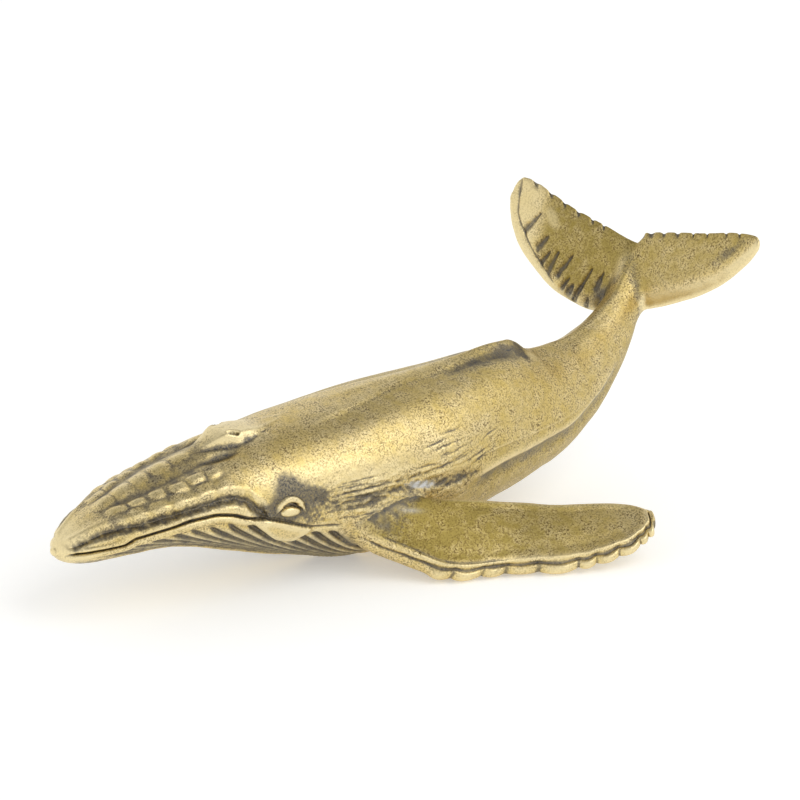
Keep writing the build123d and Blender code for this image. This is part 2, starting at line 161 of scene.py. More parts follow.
# Marks on the flukes: how far out from the middle, right side negative, and how far from the leading edge
SLASHES = [
    ((-13.0, 2.1), (-11.5, 5.8)), ((-11.1, 2.2), (-10.0, 4.7)), ((-10.4, 1.2), (-9.4, 3.6)),
    ((-9.3, 1.3), (-8.5, 4.2)), ((-8.1, 1.8), (-6.7, 4.9)), ((-7.4, 0.8), (-6.6, 2.4)),
    ((-6.6, 0.7), (-6.0, 1.9)), ((-5.8, 0.3), (-4.1, 4.5)), ((-4.3, 0.2), (-4.0, 1.1)),
    ((-3.3, 2.5), (-2.7, 4.2)), ((-2.6, 0.5), (-0.9, 2.8)),
]
FLUKE_RIM = [(-14.6, 5.2), (-14.5, 3.8), (-14.2, 2.4), (-13.0, 2.0), (-11.9, 1.6), (-10.5, 1.3), (-8.6, 0.8)]
# Nicks in the trailing edge: how far out, and how wide
NOTCHES = [(-12.9, 0.3), (-10.9, 0.25), (-9.1, 0.22), (-7.3, 0.22), (-5.5, 0.18), (-4.1, 0.14), (0.6, 0.2),
           (1.6, 0.28), (3.2, 0.22), (4.9, 0.2), (6.8, 0.12), (8.5, 0.12), (10.8, 0.14), (12.4, 0.12)]


# Curves
def smooth_step(value):
    value = np.clip(value, 0.0, 1.0)
    return value * value * (3 - 2 * value)


def between(xs, ys, x):
    """Values at x on a curve through the points that never overshoots them."""
    xs, ys = np.asarray(xs, float), np.asarray(ys, float)
    x = np.clip(x, xs[0], xs[-1])
    rates = np.diff(ys) / np.diff(xs)
    products, sums = rates[:-1] * rates[1:], rates[:-1] + rates[1:]
    inner = np.where(products <= 0, 0.0, 2 * products / np.where(sums == 0, 1, sums))
    slopes = np.concatenate([rates[:1], inner, rates[-1:]])
    i = np.clip(np.searchsorted(xs, x, side="right") - 1, 0, len(rates) - 1)
    step = xs[i + 1] - xs[i]
    t = (x - xs[i]) / step
    start = (1 - t) ** 2 * ((1 + 2 * t) * ys[i] + t * step * slopes[i])
    return start + t * t * ((3 - 2 * t) * ys[i + 1] - (1 - t) * step * slopes[i + 1])


def along(points, place):
    """Points on a curve through 3D points, counted along them."""
    counts = np.arange(len(points))
    return np.stack([between(counts, column, place) for column in points.T], -1)


def unit(vectors):
    return vectors / np.linalg.norm(vectors, axis=-1, keepdims=True)


def ridge(distance, width):
    """1 on a line, falling off to both sides over about its width."""
    return np.exp(-((distance / width) ** 2))


def spot(u, v, middle, reach):
    """1 in the middle of an oval, falling off over its reach in both directions."""
    return ridge(np.hypot((u - middle[0]) / reach[0], (v - middle[1]) / reach[1]), 1.0)


def rise(value, start, fade):
    """0 up to a start, then smoothly up to 1."""
    return smooth_step((value - start) / fade)


def fall(value, end, fade):
    """1, then smoothly down to 0 at an end."""
    return smooth_step((end - value) / fade)


def window(value, start, end, fade):
    """1 between start and end, falling off inside them."""
    return rise(value, start, fade) * fall(value, end, fade)


def share_along(u, v, start, end):
    """Where a straight line comes nearest, from 0 at its start to 1 at its end."""
    run, climb = end[0] - start[0], end[1] - start[1]
    return np.clip(((u - start[0]) * run + (v - start[1]) * climb) / (run**2 + climb**2), 0, 1)


def from_lines(u, v, points):
    """Distance from a row of straight lines through 2D points."""
    nearest = np.full_like(u, np.inf)
    for start, end in zip(points, points[1:]):
        share = share_along(u, v, start, end)
        off_u = u - start[0] - share * (end[0] - start[0])
        off_v = v - start[1] - share * (end[1] - start[1])
        nearest = np.minimum(nearest, np.hypot(off_u, off_v))
    return nearest


def lumps(points, size, seed):
    """Gentle unevenness of a hand-worked wax, from -1 to 1, with lumps of about that size."""
    rng = np.random.default_rng(seed)
    total = 0.0
    waves = 7
    for _ in range(waves):
        direction = unit(rng.normal(size=3)) * (2 * pi / (size * rng.uniform(0.7, 1.5)))
        total = total + np.sin(points @ direction + rng.uniform(0, 2 * pi))
    return total / waves


# Meshes
def grid_mesh(name, points, fields):
    """Closed mesh of rows of points around a form, with a fan at each end, in the frame's metres."""
    rows, columns = points.shape[:2]
    ends = [points[0].mean(0), points[-1].mean(0)]
    place = (np.concatenate([points.reshape(-1, 3), ends]) + SHIFT) * MM
    i, j = np.meshgrid(np.arange(rows - 1), np.arange(columns), indexing="ij")
    k = (j + 1) % columns
    quads = np.stack([i * columns + j, i * columns + k, (i + 1) * columns + k, (i + 1) * columns + j], -1)
    around = np.arange(columns)
    onward = (around + 1) % columns
    hub, last_row = rows * columns, (rows - 1) * columns
    start = np.stack([np.full(columns, hub), onward, around], -1)
    end = np.stack([np.full(columns, hub + 1), last_row + around, last_row + onward], -1)
    faces = [*quads.reshape(-1, 4).tolist(), *start.tolist(), *end.tolist()]
    mesh = bpy.data.meshes.new(name)
    mesh.from_pydata(place.tolist(), [], faces)
    for field, values in fields.items():
        ends = [values[0].mean(), values[-1].mean()]
        column = np.concatenate([values.reshape(-1), ends]).astype(np.float32)
        mesh.attributes.new(field, "FLOAT", "POINT").data.foreach_set("value", column)
    build = bmesh.new()
    build.from_mesh(mesh)
    if build.calc_volume(signed=True) < 0:
        bmesh.ops.reverse_faces(build, faces=build.faces[:])
    build.to_mesh(mesh)
    build.free()
    mesh.shade_smooth()
    return mesh


def add_object(name, data):
    piece = bpy.data.objects.new(name, data)
    bpy.context.scene.collection.objects.link(piece)
    return piece


def read(data, name, kind=np.float32, width=3):
    """One property of all the elements of a mesh, in rows."""
    values = np.empty(len(data) * width, kind)
    data.foreach_get(name, values)
    return values.reshape(-1, width)


def vertex_keys(place):
    """One whole number for each place, the same for places within a ten-thousandth of a millimetre."""
    per_metre_steps, bits = 1e7, 21
    steps = np.round(place.astype(float) * per_metre_steps).astype(np.int64) + (1 << (bits - 1))
    return steps[:, 0] + (steps[:, 1] << bits) + (steps[:, 2] << (2 * bits))


def relax_crease(mesh, known, reach, seat):
    """Round off the crease of a union, by evening out the vertices near those that the union made.

    Patina gathers in it. The filed seat, a point and a direction, keeps its shape.
    """
    turns, gathered = 110, 0.4
    # Millimetres from the seat over which nothing moves, and over which the evening out sets in
    held, hold_fade = 0.7, 1.2
    place = read(mesh.vertices, "co").astype(float)
    seam = place[~np.isin(vertex_keys(place), known)]
    if not len(seam):
        raise RuntimeError(f"{mesh.name}: the union made no crease")
    tree = KDTree(len(seam))
    for i, point in enumerate(seam):
        tree.insert(point, i)
    tree.balance()
    close = np.all((place > seam.min(0) - reach) & (place < seam.max(0) + reach), axis=1)
    weight = np.zeros(len(place))
    for i in np.flatnonzero(close):
        weight[i] = 1 - tree.find(place[i])[2] / reach
    origin, facing = seat
    from_seat = np.abs((place - (origin + SHIFT) * MM) @ facing) / MM
    weight = smooth_step(weight) * rise(from_seat, held, hold_fade)
    field = mesh.attributes["patina"].data
    patina = np.clip(read(field, "value", width=1)[:, 0] + gathered * weight**2, 0, 1)
    field.foreach_set("value", patina.astype(np.float32))
    edges = read(mesh.edges, "vertices", np.int32, 2)
    edges = edges[(weight[edges] > 0).any(1)]
    ends, others = np.concatenate([edges, edges[:, ::-1]]).T
    count = np.maximum(np.bincount(ends, minlength=len(place)), 1)
    for _ in range(turns):
        for axis in range(3):
            mean = np.bincount(ends, place[others, axis], len(place)) / count
            place[:, axis] += weight * (mean - place[:, axis])
    mesh.vertices.foreach_set("co", place.astype(np.float32).reshape(-1))
    mesh.update()


def combine(piece, other_mesh, operation, soften=0.0, seat=None):
    """Union or difference of a piece with another closed mesh, which is then dropped.

    The crease of a union may be softened over some millimetres, away from a seat.
    """
    sharpest_smooth = radians(65)
    both = [read(mesh.vertices, "co") for mesh in (piece.data, other_mesh)]
    known = vertex_keys(np.concatenate(both))
    other = add_object("cutter", other_mesh)
    modifier = piece.modifiers.new("combine", "BOOLEAN")
    modifier.object = other
    modifier.operation = operation
    modifier.solver = "MANIFOLD"
    result = bpy.data.meshes.new_from_object(piece.evaluated_get(bpy.context.evaluated_depsgraph_get()))
    piece.modifiers.clear()
    if not result.polygons:
        raise RuntimeError(f"{piece.name}: {operation.lower()} with {other_mesh.name} left nothing")
    old = piece.data
    piece.data = result
    result.name = piece.name
    for mesh in (old, other_mesh):
        bpy.data.meshes.remove(mesh)
    if soften:
        relax_crease(result, known, soften * MM, seat)
    result.shade_smooth()
    result.set_sharp_from_angle(angle=sharpest_smooth)


def flatten_seat(mesh, seat):
    """Shade a filed seat flat, so that its rim doesn't darken the skin beside it."""
    near, facing_it = 0.1 * MM, 0.95
    origin, facing = seat
    away = np.abs((read(mesh.polygons, "center") - (origin + SHIFT) * MM) @ facing)
    on_seat = (away < near) & (np.abs(read(mesh.polygons, "normal") @ facing) > facing_it)
    if not on_seat.any():
        raise RuntimeError(f"{mesh.name}: no filed seat found")
    mesh.polygons.foreach_set("use_smooth", ~on_seat)


def dowel_hole_mesh(node):
    """The hole that a dowel sits in: the dowel itself with a little clearance all round."""
    clearance, weld = 1.06, 1e-6
    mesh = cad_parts[node].data.copy()
    low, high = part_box(node)
    middle = (low + high) / 2
    mesh.transform(Matrix.Translation(middle) @ Matrix.Scale(clearance, 4) @ Matrix.Translation(-middle))
    build = bmesh.new()
    build.from_mesh(mesh)
    bmesh.ops.remove_doubles(build, verts=build.verts[:], dist=weld)
    build.to_mesh(mesh)
    build.free()
    return mesh


def mirrored_mesh(mesh, name):
    """The mesh on the whale's other side."""
    other = mesh.copy()
    other.name = name
    other.transform(Matrix.Scale(-1, 4, (0, 1, 0)))
    other.flip_normals()
    return other


def finish_piece(piece, material, slot, *nodes):
    piece.data.materials.clear()
    piece.data.materials.append(material)
    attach(piece, BODY)
    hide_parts(*nodes)


def taken(points, fields, rows):
    """Some of a form's rows, or all of them in another order."""
    return points[rows], {name: field[rows] for name, field in fields.items()}


def round_end(points, fields, bulge):
    """A few more rows that close the first end of a form in a round tip."""
    turns = np.radians([15.0, 35.0, 55.0, 75.0])
    inner = 4
    middle = points[0].mean(0)
    outward = unit(middle - points[inner].mean(0)) * bulge
    rows = [middle + (points[0] - middle) * sin(turn) + outward * cos(turn) for turn in turns]
    again = np.concatenate([np.zeros(len(turns), int), np.arange(len(points))])
    return np.concatenate([rows, points]), taken(points, fields, again)[1]


# Relief and patina
def blurred(values, turns):
    """Values of a closed grid of rows, averaged with their neighbours again and again."""
    for _ in range(turns):
        around = (np.roll(values, 1, 1) + 2 * values + np.roll(values, -1, 1)) / 4
        ends = np.concatenate([around[:1], around, around[-1:]])
        values = (ends[:-2] + 2 * ends[1:-1] + ends[2:]) / 4
    return values


def normals_of(points):
    """Outward normals of a closed grid of rows."""
    around = np.roll(points, -1, 1) - np.roll(points, 1, 1)
    onward = np.gradient(points, axis=0)
    normal = unit(np.cross(around, onward) + 1e-12)
    outward = (normal * (points - points.mean(1, keepdims=True))).sum(-1).mean()
    return normal if outward > 0 else -normal


# Trunk
class Skin(namedtuple("Skin", "x level side per_degree points")):
    """The plain trunk as a grid.

    For each point, its X, its degrees over the widest level, its side, the length of a degree and its place.
    """

    @property
    def from_crown(self):
        """Distance down from the top of the back."""
        return (90 - self.level) * self.per_degree

    def reach(self, start, end, fade):
        """1 between two places along the trunk, falling off inside them."""
        return window(self.x, start, end, fade)

    def lumps(self, size, seed):
        return lumps(self.points, size, seed)

    def above(self, level, slope):
        """How far each point lies over a line with that level and slope."""
        steep = np.sqrt(1 + (slope * self.per_degree) ** 2)
        return (self.level - level) * self.per_degree / steep

    def over(self, line):
        """How far each point lies over a line through places along the trunk and their levels."""
        xs, levels = zip(*line)
        nearby = 0.2
        slope = (between(xs, levels, self.x + nearby) - between(xs, levels, self.x - nearby)) / (2 * nearby)
        return self.above(between(xs, levels, self.x), slope)


def station_at(x):
    return [between(STATIONS[:, 0], column, x) for column in STATIONS.T]


def section_axes(x):
    """Axes of the sections at x: across to the right side, up, and along to the tail."""
    nearby = 0.2
    spine = unit(np.stack(station_at(x + nearby)[:3], -1) - np.stack(station_at(x - nearby)[:3], -1))
    lean = rise(x, LEAN_FROM, LEAN_TO - LEAN_FROM)[..., None]
    normal = unit(spine * lean + np.array([1.0, 0, 0]) * (1 - lean))
    across = unit(np.cross([0.0, 0.0, 1.0], normal))
    return across, np.cross(normal, across), normal


def section_points(x, angle):
    """Points of the plain trunk, by angle from its right side over the back."""
    sx, sy, sz, half_width, above, below, crown, keel = station_at(x)
    across, up, _ = section_axes(x)
    c, s = np.cos(np.radians(angle)), np.sin(np.radians(angle))
    power = 2 / np.where(s >= 0, crown, keel)
    out = half_width * np.abs(c) ** power * np.sign(c)
    high = np.where(s >= 0, above, below) * np.abs(s) ** power * np.sign(s)
    return np.stack([sx, sy, sz], -1) + across * out[..., None] + up * high[..., None]


def trunk_skin(xs, columns):
    """The plain trunk as a grid, with how far each point lies over the widest level and on which side."""
    angle = np.arange(columns) * 360 / columns
    x, angle = np.meshgrid(xs, angle, indexing="ij")
    points = section_points(x, angle)
    level = np.degrees(np.arcsin(np.clip(np.sin(np.radians(angle)), -1, 1)))
    side = np.where(np.cos(np.radians(angle)) >= 0, 1.0, -1.0)
    step = np.linalg.norm(np.roll(points, -1, 1) - np.roll(points, 1, 1), axis=-1) / 2
    return Skin(x, level, side, step / (360 / columns), points)


def carve_lips(skin, cut):
    """Double lip: a deep groove under the edge of the upper jaw, a lip band, the mouth and a lower lip."""
    jaw_edge, lip, lower_lip, crease = 0.16, 0.22, 0.18, 0.14
    groove, mouth = skin.over(LIP_GROOVE), skin.over(MOUTH_LINE)
    head = skin.reach(-32.3, -12.4, 0.8)
    rough = 1 + 0.25 * skin.lumps(0.9, 31)
    relief = -cut.lip_groove * ridge(groove + 0.12, 0.56) * head * rough
    relief += jaw_edge * ridge(groove - 1.0, 0.55) * head
    share = np.clip(mouth / np.maximum(mouth - groove, 1e-3), 0, 1)
    band = (mouth > 0) * (groove < 0) * skin.reach(-32.3, -13.2, 0.6)
    relief += lip * np.sin(pi * share) ** 0.6 * band
    relief += lower_lip * np.sin(pi * np.clip(-mouth / 0.95, 0, 1)) * skin.reach(-32.5, -13.5, 1.5)
    relief -= cut.mouth_slit * ridge(mouth, 0.13) * skin.reach(-32.8, -4.0, 1.5)
    relief -= crease * ridge(skin.over(LIP_CREASE), 0.15) * skin.reach(-31.0, -27.2, 0.8)
    deepening = between([-32.7, -27.0, -22.0], [0.5, 0.7, 0.88], skin.x)
    shade = ridge(groove + 0.15, 0.68) * head * deepening * rough
    along_front = between([-31.5, -30.0, -24.0, -19.0], [0.0, 0.7, 0.75, 0.2], skin.x)
    front = rise(share, 0.35, 0.3) * band * along_front
    shade = np.maximum(shade, front * (1 + 0.5 * skin.lumps(0.6, 38)))
    return relief, np.maximum(shade, 0.8 * ridge(mouth, 0.14) * skin.reach(-32.5, -5.0, 1.0))


def cheek_pad(skin):
    """1 on the smooth leaf-shaped pad under the eye, 0 off it."""
    soft = 0.3
    inside = fall(skin.over(MOUTH_LINE), 0, soft) * rise(skin.over(CHEEK_FOOT), 0, soft)
    return inside * skin.reach(-15.0, -7.2, 0.5)


def carve_pleats(skin, cut):
    """Throat pleats that leave the lower lip and run back and down, then along the belly."""
    first, last, spacing, end = -31.0, -7.5, 1.95, 1.5
    lip_level, plunge, within, sink, bend = -7, 44, 5, 0.9, 0.012
    pad_height = 0.28
    relief, shade = np.zeros_like(skin.x), np.zeros_like(skin.x)
    under_lip = rise(-skin.over(MOUTH_LINE), 0.55, 0.4)
    for start in np.arange(first, last, spacing):
        run = np.maximum(skin.x - start, 0)
        level = lip_level - plunge * (1 - np.exp(-run / within)) - sink * run - bend * run**2
        slope = -plunge / within * np.exp(-run / within) - sink - 2 * bend * run
        distance = skin.above(level, slope)
        reach = skin.reach(start, end, 1.2)
        relief = np.maximum(relief, ridge(distance, 0.28) * reach)
        shade = np.maximum(shade, ridge(distance, 0.42) * reach)
    pad = cheek_pad(skin)
    open_skin = under_lip * (1 - pad)
    throat = skin.reach(-31.5, -2.0, 3.0) * open_skin
    deep = 0.6 + 0.4 * rise(skin.level, -75, 30)
    chin = 0.6 * skin.reach(-32.2, -27.5, 1.5) * fall(skin.level, -22, 20)
    chin = chin * (1 + 0.7 * skin.lumps(0.9, 29))
    shade = np.maximum((0.85 * shade * open_skin + 0.15 * throat) * deep, chin)
    return pad_height * pad - cut.pleat * relief * open_skin, np.clip(shade, 0, 1)


def carve_eye(skin, cut):
    """Almond eyeball under a thick arched lid, in a hollow, with rough dark skin around it."""
    ball_height, lid_height, gap_depth, hollow_depth, roughness = 0.45, 0.5, 0.22, 0.2, 0.07
    size = cut.eye / 1.1
    x = (skin.x - EYE[0]) / size
    up = (skin.level - EYE[1]) * skin.per_degree / size
    ball = np.sqrt(np.clip(1 - (x / 1.05) ** 2 - ((up + 0.12) / 0.5) ** 2, 0, 1))
    lid_foot = 0.62 - 0.45 * x**2
    across = (up - lid_foot) / 0.75
    lid = np.sqrt(np.clip(1 - (2 * across - 1) ** 2, 0, 1)) * np.clip(1 - (x / 1.6) ** 4, 0, 1)
    gap = ridge(up - lid_foot + 0.1, 0.14) * fall(np.abs(x), 1.25, 0.3)
    hollow = ridge(np.hypot(x, up - 0.2), 2.0)
    relief = ball_height * ball + lid_height * lid - gap_depth * gap * (1 - ball) - hollow_depth * hollow
    around = np.clip(ridge(np.hypot(x + 0.2, up), 1.9) * 1.2, 0, 1)
    around *= 1 - np.clip(ball * 2 + lid * 1.5, 0, 1)
    above = ridge(np.hypot(x - 0.1, (up - 2.6) / 1.1), 1.15)
    behind = ridge(np.hypot((x - 2.6) / 2.3, up - 1.4 + 0.3 * (x - 2.3)), 0.66)
    front = ridge(np.hypot((x + 2.7) / 1.3, up + 0.1), 0.9)
    cracked = 0.55 * window(x, 0.9, 4.2, 1.2) * ridge(up + 0.3, 1.5)
    grainy = skin.lumps(0.45, 34)
    ragged = 1 + 0.35 * skin.lumps(0.9, 33) + 0.4 * grainy
    patch = (around + above + behind + front + cracked * (1 + 1.2 * grainy)) * (1 - cheek_pad(skin))
    return relief + roughness * grainy * np.clip(patch, 0, 1), np.clip(patch * ragged, 0, 0.9)


def carve_crest(skin, cut):
    """Blowhole crest with its two nostrils, the ridge along the rostrum and the hollows beside it."""
    ridge_height, hollow_depth, pool_depth, knobbly_height = 0.2, 0.22, 0.3, 0.15
    nostril_x, nostril_off, splay_angle = -12.9, 1.35, radians(20.0)
    x = skin.x
    off = skin.from_crown * skin.side
    top = rise(skin.level, 35, 10)
    half = between([-16.5, -15.2, -13.8, -12.5, -10.5, -8.0, -6.0], [0.8, 1.2, 1.75, 2.0, 1.8, 1.0, 0.4], x)
    height = between([-16.8, -15.2, -13.6, -11.5, -9.0, -6.5], [0.0, 0.6, 1.1, 0.75, 0.2, 0.0], x)
    relief = height * fall(np.abs(off) / half, 1.2, 0.45) * top
    # Painted shade: a dark band along the foot of the crest's edge
    dark = 0.45 * ridge(np.abs(off) - 1.2 * half - 0.1, 0.3) * skin.reach(-16.8, -10.5, 1.5) * top
    for turn in (-1, 1):
        ahead, aside = x - nostril_x, off - turn * nostril_off
        splay = splay_angle * turn
        u = ahead * cos(splay) + aside * sin(splay)
        v = aside * cos(splay) - ahead * sin(splay)
        hole = fall(np.hypot(u / 0.6, v / 0.27), 1.2, 0.4) * top
        relief -= cut.blowhole * hole
        dark = np.maximum(dark, hole)
    places = [-28.0, -25.4, -22.8, -21.3, -17.3, -15.8, -14.1, -12.5]
    beside = between(places, [0.9, 1.5, 1.95, 2.25, 2.25, 2.45, 2.85, 3.0], x)
    hollow = ridge(np.abs(off) - beside + 0.15 * skin.lumps(1.2, 37), 0.6)
    hollow = hollow * skin.reach(-28.5, -12.0, 3.0) * top
    pool = ridge(np.hypot((x + 15.6) / 2.2, np.abs(off) - beside), 0.7) * top
    knobbly = spot(x, np.abs(off), (-10.6, 2.1), (1.6, 0.6)) * skin.lumps(0.8, 35)
    middle = ridge_height * ridge(off, 0.9) * skin.reach(-29.5, -13.5, 2.5) * top
    relief += middle - hollow_depth * hollow - pool_depth * pool
    dark = dark + 0.52 * hollow + 0.12 * pool - 1.2 * knobbly
    return relief + knobbly_height * knobbly, np.clip(dark, 0, 1)


def carve_tubercles(skin, cut):
    """Rows of low oblong bosses on the rostrum, over the ridge, beside it and near the jaw's edge."""
    # Each row's places, the line it follows off the crown, its bosses' half length and width, their height
    rows = [
        ([-27.2, -25.2, -23.0, -20.8, -18.4],
         [(-28, 0.0), (-16, 0.0)], 0.85, 0.9, 1.0),
        ([-26.9, -24.9, -22.8, -20.7, -18.9, -16.9],
         [(-27, 1.7), (-24.9, 2.4), (-20.7, 3.3), (-16.9, 3.95)], 0.8, 0.42, 1.0),
        ([-25.4, -23.4, -21.3, -18.7, -16.9],
         [(-26, 3.0), (-23.4, 3.7), (-21.4, 4.2), (-16.9, 5.0)], 0.75, 0.4, 0.7),
    ]
    squareness = 1.7
    relief = np.zeros_like(skin.x)
    rng = np.random.default_rng(7)
    for places, line, half_length, half_width, share in rows:
        xs, offs = zip(*line)
        for x in places:
            shift = rng.uniform(-0.2, 0.2)
            lean = between(xs, offs, skin.x) * rng.uniform(0.96, 1.04)
            ahead = (skin.x - x - shift) / (half_length * rng.uniform(0.85, 1.15))
            aside = (skin.from_crown - lean) / (half_width * rng.uniform(0.85, 1.15))
            boss = np.exp(-((ahead**2) ** squareness) - (aside**2) ** squareness)
            relief = np.maximum(relief, share * rng.uniform(0.6, 1.0) * boss)
    rough = skin.reach(-30.0, -14.0, 3.0) * rise(skin.level, 33, 14)
    return cut.tubercle * relief, 0.5 * rough * (1 - smooth_step(relief * 2.0))


def carve_wrinkles(skin, cut):
    """Creases that fan out from the eye over the shoulder, and long ones along the flank."""
    crease_width, wander, seam_depth = 0.13, 0.12, 0.18
    coarse, fine = 0.12, 0.08
    relief = np.zeros_like(skin.x)
    for i, line in enumerate(WRINKLES):
        start, end = line[0][0], line[-1][0]
        off = skin.over(line) + wander * skin.lumps(1.6, 40 + i)
        crease = ridge(off, crease_width) * skin.reach(start, end, (end - start) / 2.2)
        relief = np.maximum(relief, crease)
    over = skin.over(SHOULDER_BAND) + 0.4
    width = between([-8, -2, 6, 12], [1.6, 2.3, 1.6, 0.7], skin.x)
    band = ridge(over, np.where(over > 0, width, 1.7 * width)) * (1 - cheek_pad(skin))
    band *= skin.reach(-9.0, 12.5, 3.0)
    crumple = coarse * lumps(skin.points * (0.55, 1.0, 1.0), 0.85, 21) + fine * skin.lumps(0.5, 22)
    off = skin.over(SHOULDER_SEAM) + 0.25 * skin.lumps(1.4, 23)
    seam = ridge(off, between([-8, -3, 3, 12], [0.6, 0.9, 0.8, 0.6], skin.x)) * skin.reach(-9.0, 13.5, 2.0)
    seam = seam * (1 + 0.5 * skin.lumps(0.7, 24))
    shade = 0.4 * relief + 0.12 * band + 0.36 * seam
    return crumple * band - cut.wrinkle * relief - seam_depth * seam, np.clip(shade, 0, 0.95)


def carve_flank(skin):
    """Edge along the flank where it turns under the tail, with a shallow hollow below it."""
    edge_height, hollow_depth = 0.28, 0.2
    over = skin.over(FLANK_EDGE)
    edge = np.where(over > 0, ridge(over, 1.2), ridge(over, 0.4))
    under = ridge(over + 1.3, 0.9)
    reach = skin.reach(9.5, 37.5, 5.0)
    shade = 0.3 * under + 0.25 * ridge(over + 0.45, 0.3)
    return (edge_height * edge - hollow_depth * under) * reach, shade * reach


def carve_back(skin):
    """Soft valley under the ridge of the back, and the dark recess along the foot of the fin."""
    crown_height, valley_depth, recess_depth = 0.12, 0.3, 0.28
    over = skin.over(BACK_VALLEY)
    valley = np.where(over > 0, ridge(over, 0.7), ridge(over, 1.7)) * skin.reach(-7.0, 19.0, 6.0)
    crown = ridge(skin.from_crown, 0.8) * skin.reach(-4.0, 17.0, 6.0) * (skin.level > 0)
    foot, reach = skin.over(FIN_RECESS), skin.reach(11.5, 24.6, 1.6)
    recess = ridge(foot, 0.85) * reach * between([11.5, 16.0, 22.0], [0.2, 0.6, 1.0], skin.x)
    dark = ridge(foot + 0.2, 1.25) * (between([11.5, 16.0, 20.0], [0.2, 0.7, 1.0], skin.x) * reach)
    relief = crown_height * crown - valley_depth * valley - recess_depth * recess
    return relief, 0.8 * dark * (1 + 0.35 * skin.lumps(0.6, 39))


def raise_fin(skin, points):
    """Low hooked dorsal fin, blended into the back."""
    slope, middle_y, blunt, soft = 1.15, 0.3, 0.3, 0.3
    x, y, z = points[..., 0], points[..., 1], points[..., 2]
    xs = [8.5, 14.6, 20.4, 22.0, 23.2, 24.2, 25.4]
    top = between(xs, [15.8, 17.45, 18.4, 18.4, 17.9, 17.0, 15.4], x)
    off = np.hypot(y - middle_y, blunt) - blunt
    fin = top - slope * off
    on_back = (skin.level > 30) & (x > 7.5) & (x < 26) & (fin > z - 3)
    points = points.copy()
    points[..., 2] = np.where(on_back, soft * np.logaddexp(z / soft, fin / soft), z)
    return points


def worn(relief, dark):
    """Patina left in the hollows on top of the dark marks given, some of them painted shade, and brightness
    of what stands proud.
    """
    turns, full_hollow, most, full_height = 24, 0.16, 0.8, 0.1
    proud = relief - blurred(relief, turns)
    patina = np.clip(dark + np.clip(-proud / full_hollow, 0, most), 0, 1)
    return patina, np.clip(proud / full_height, 0, 1)


def trunk_rows():
    """X of the rows, closest on the head, where the carving is finest, and some beyond the tail's seat."""
    neck, loins, beyond = -5.0, 16.0, 8
    head, middle = np.arange(NOSE_X, neck, 0.09), np.arange(neck, loins, 0.14)
    tail = np.arange(loins, TAIL_SEAT_X - SLACK, TAIL_STEP)
    return np.concatenate([head, middle, tail, TAIL_SEAT_X + TAIL_STEP * np.arange(beyond)])


def solder_smear(skin):
    """1 on the silvery smear at the left shoulder, with a ragged edge."""
    ahead, over = (skin.x - 4.9) / 2.2, skin.over(SHOULDER_SEAM) / 0.5
    uneven = 0.3 * skin.lumps(0.8, 36) + 0.25 * skin.lumps(0.35, 30)
    return smooth_step((1.1 - np.hypot(ahead, over + 0.2 * ahead) + uneven) / 0.5) * (skin.side < 0)


def carved_trunk(cut):
    """Points of the whole trunk with its carving, and how dark and how bright each one is."""
    set_by_depth = (carve_lips, carve_pleats, carve_eye, carve_crest, carve_tubercles, carve_wrinkles)
    skin = trunk_skin(trunk_rows(), COLUMNS)
    carvings = [carve(skin, cut) for carve in set_by_depth]
    carvings += [carve_flank(skin), carve_back(skin)]
    relief = np.zeros_like(skin.x)
    dark = np.zeros_like(skin.x)
    for height, shade in carvings:
        relief += height
        dark = np.maximum(dark, shade)
    relief += bare_relief(skin)
    relief *= rise(skin.x, NOSE_X, 1.0)
    points = raise_fin(skin, skin.points + normals_of(skin.points) * relief[..., None])
    points[..., 2] = np.maximum(points[..., 2], 0.0)
    patina, polish = worn(relief, dark)
    smear = solder_smear(skin)
    nose = fall(skin.x, -28.5, 3)
    # Painted highlight: a bright band along the flank over the eye and shoulder, added to the polish
    painted_highlight = ridge(skin.over(SHOULDER_PAINTED_HIGHLIGHT), 1.5) * skin.reach(-14.5, 6.0, 4.0)
    crest = 0.6 * rise(skin.level, 66, 5) * skin.reach(-16.5, -9.0, 2.0)
    fields = {
        "patina": patina * (1 - 0.9 * smear),
        "polish": np.clip(polish + 0.4 * cheek_pad(skin) + 0.95 * nose + 0.6 * painted_highlight + crest, 0, 1),
        "solder": 0.85 * smear,
        "tarnish": toning_and_underside_shade(skin),
    }
    return round_end(*taken(points, fields, skin.x[:, 0] < TAIL_SEAT_X + SLACK), bulge=0.3)


def tail_keel(skin):
    """1 on the narrow ridge along the top of the tail stock."""
    return ridge(skin.from_crown, 0.5) * rise(skin.x, 25, 4) * (skin.level > 0)


def bare_relief(skin):
    """Unevenness of the wax all over, and the keel of the tail."""
    return 0.07 * skin.lumps(6.0, 3) + 0.025 * skin.lumps(2.2, 4) + 0.16 * tail_keel(skin)


def toning_and_underside_shade(skin):
    """Olive toning on the upper back and towards the tail, deeper low on the tail and under it, where it is
    painted shade.
    """
    over = skin.over(BACK_VALLEY)
    # Painted shade: the toning deepens low down on the tail and under it
    tail = rise(skin.x, 2, 14) * (0.26 + 0.34 * fall(skin.level, 10, 30))
    back = rise(skin.level, 44, 16) * fall(over, 0.9, 0.7) * skin.reach(-12.0, 24.0, 4.0)
    valley = ridge(over + 0.7, 1.0) * skin.reach(-8.0, 16.0, 5.0)
    return np.maximum(tail, 0.3 * back + 0.2 * valley)


# Blades
def blade_points(lead, trail, normal, thickness, angle):
    """Points around a blade's section: 0 at the trailing edge, half a turn at the leading edge."""
    middle, half_chord = (lead + trail) / 2, (trail - lead) / 2
    c, s = np.cos(angle), np.sin(angle)
    swell = thickness / 2 * s * (1 - BLADE_FULLNESS * c)
    return middle + half_chord * c[..., None] + normal * swell[..., None]


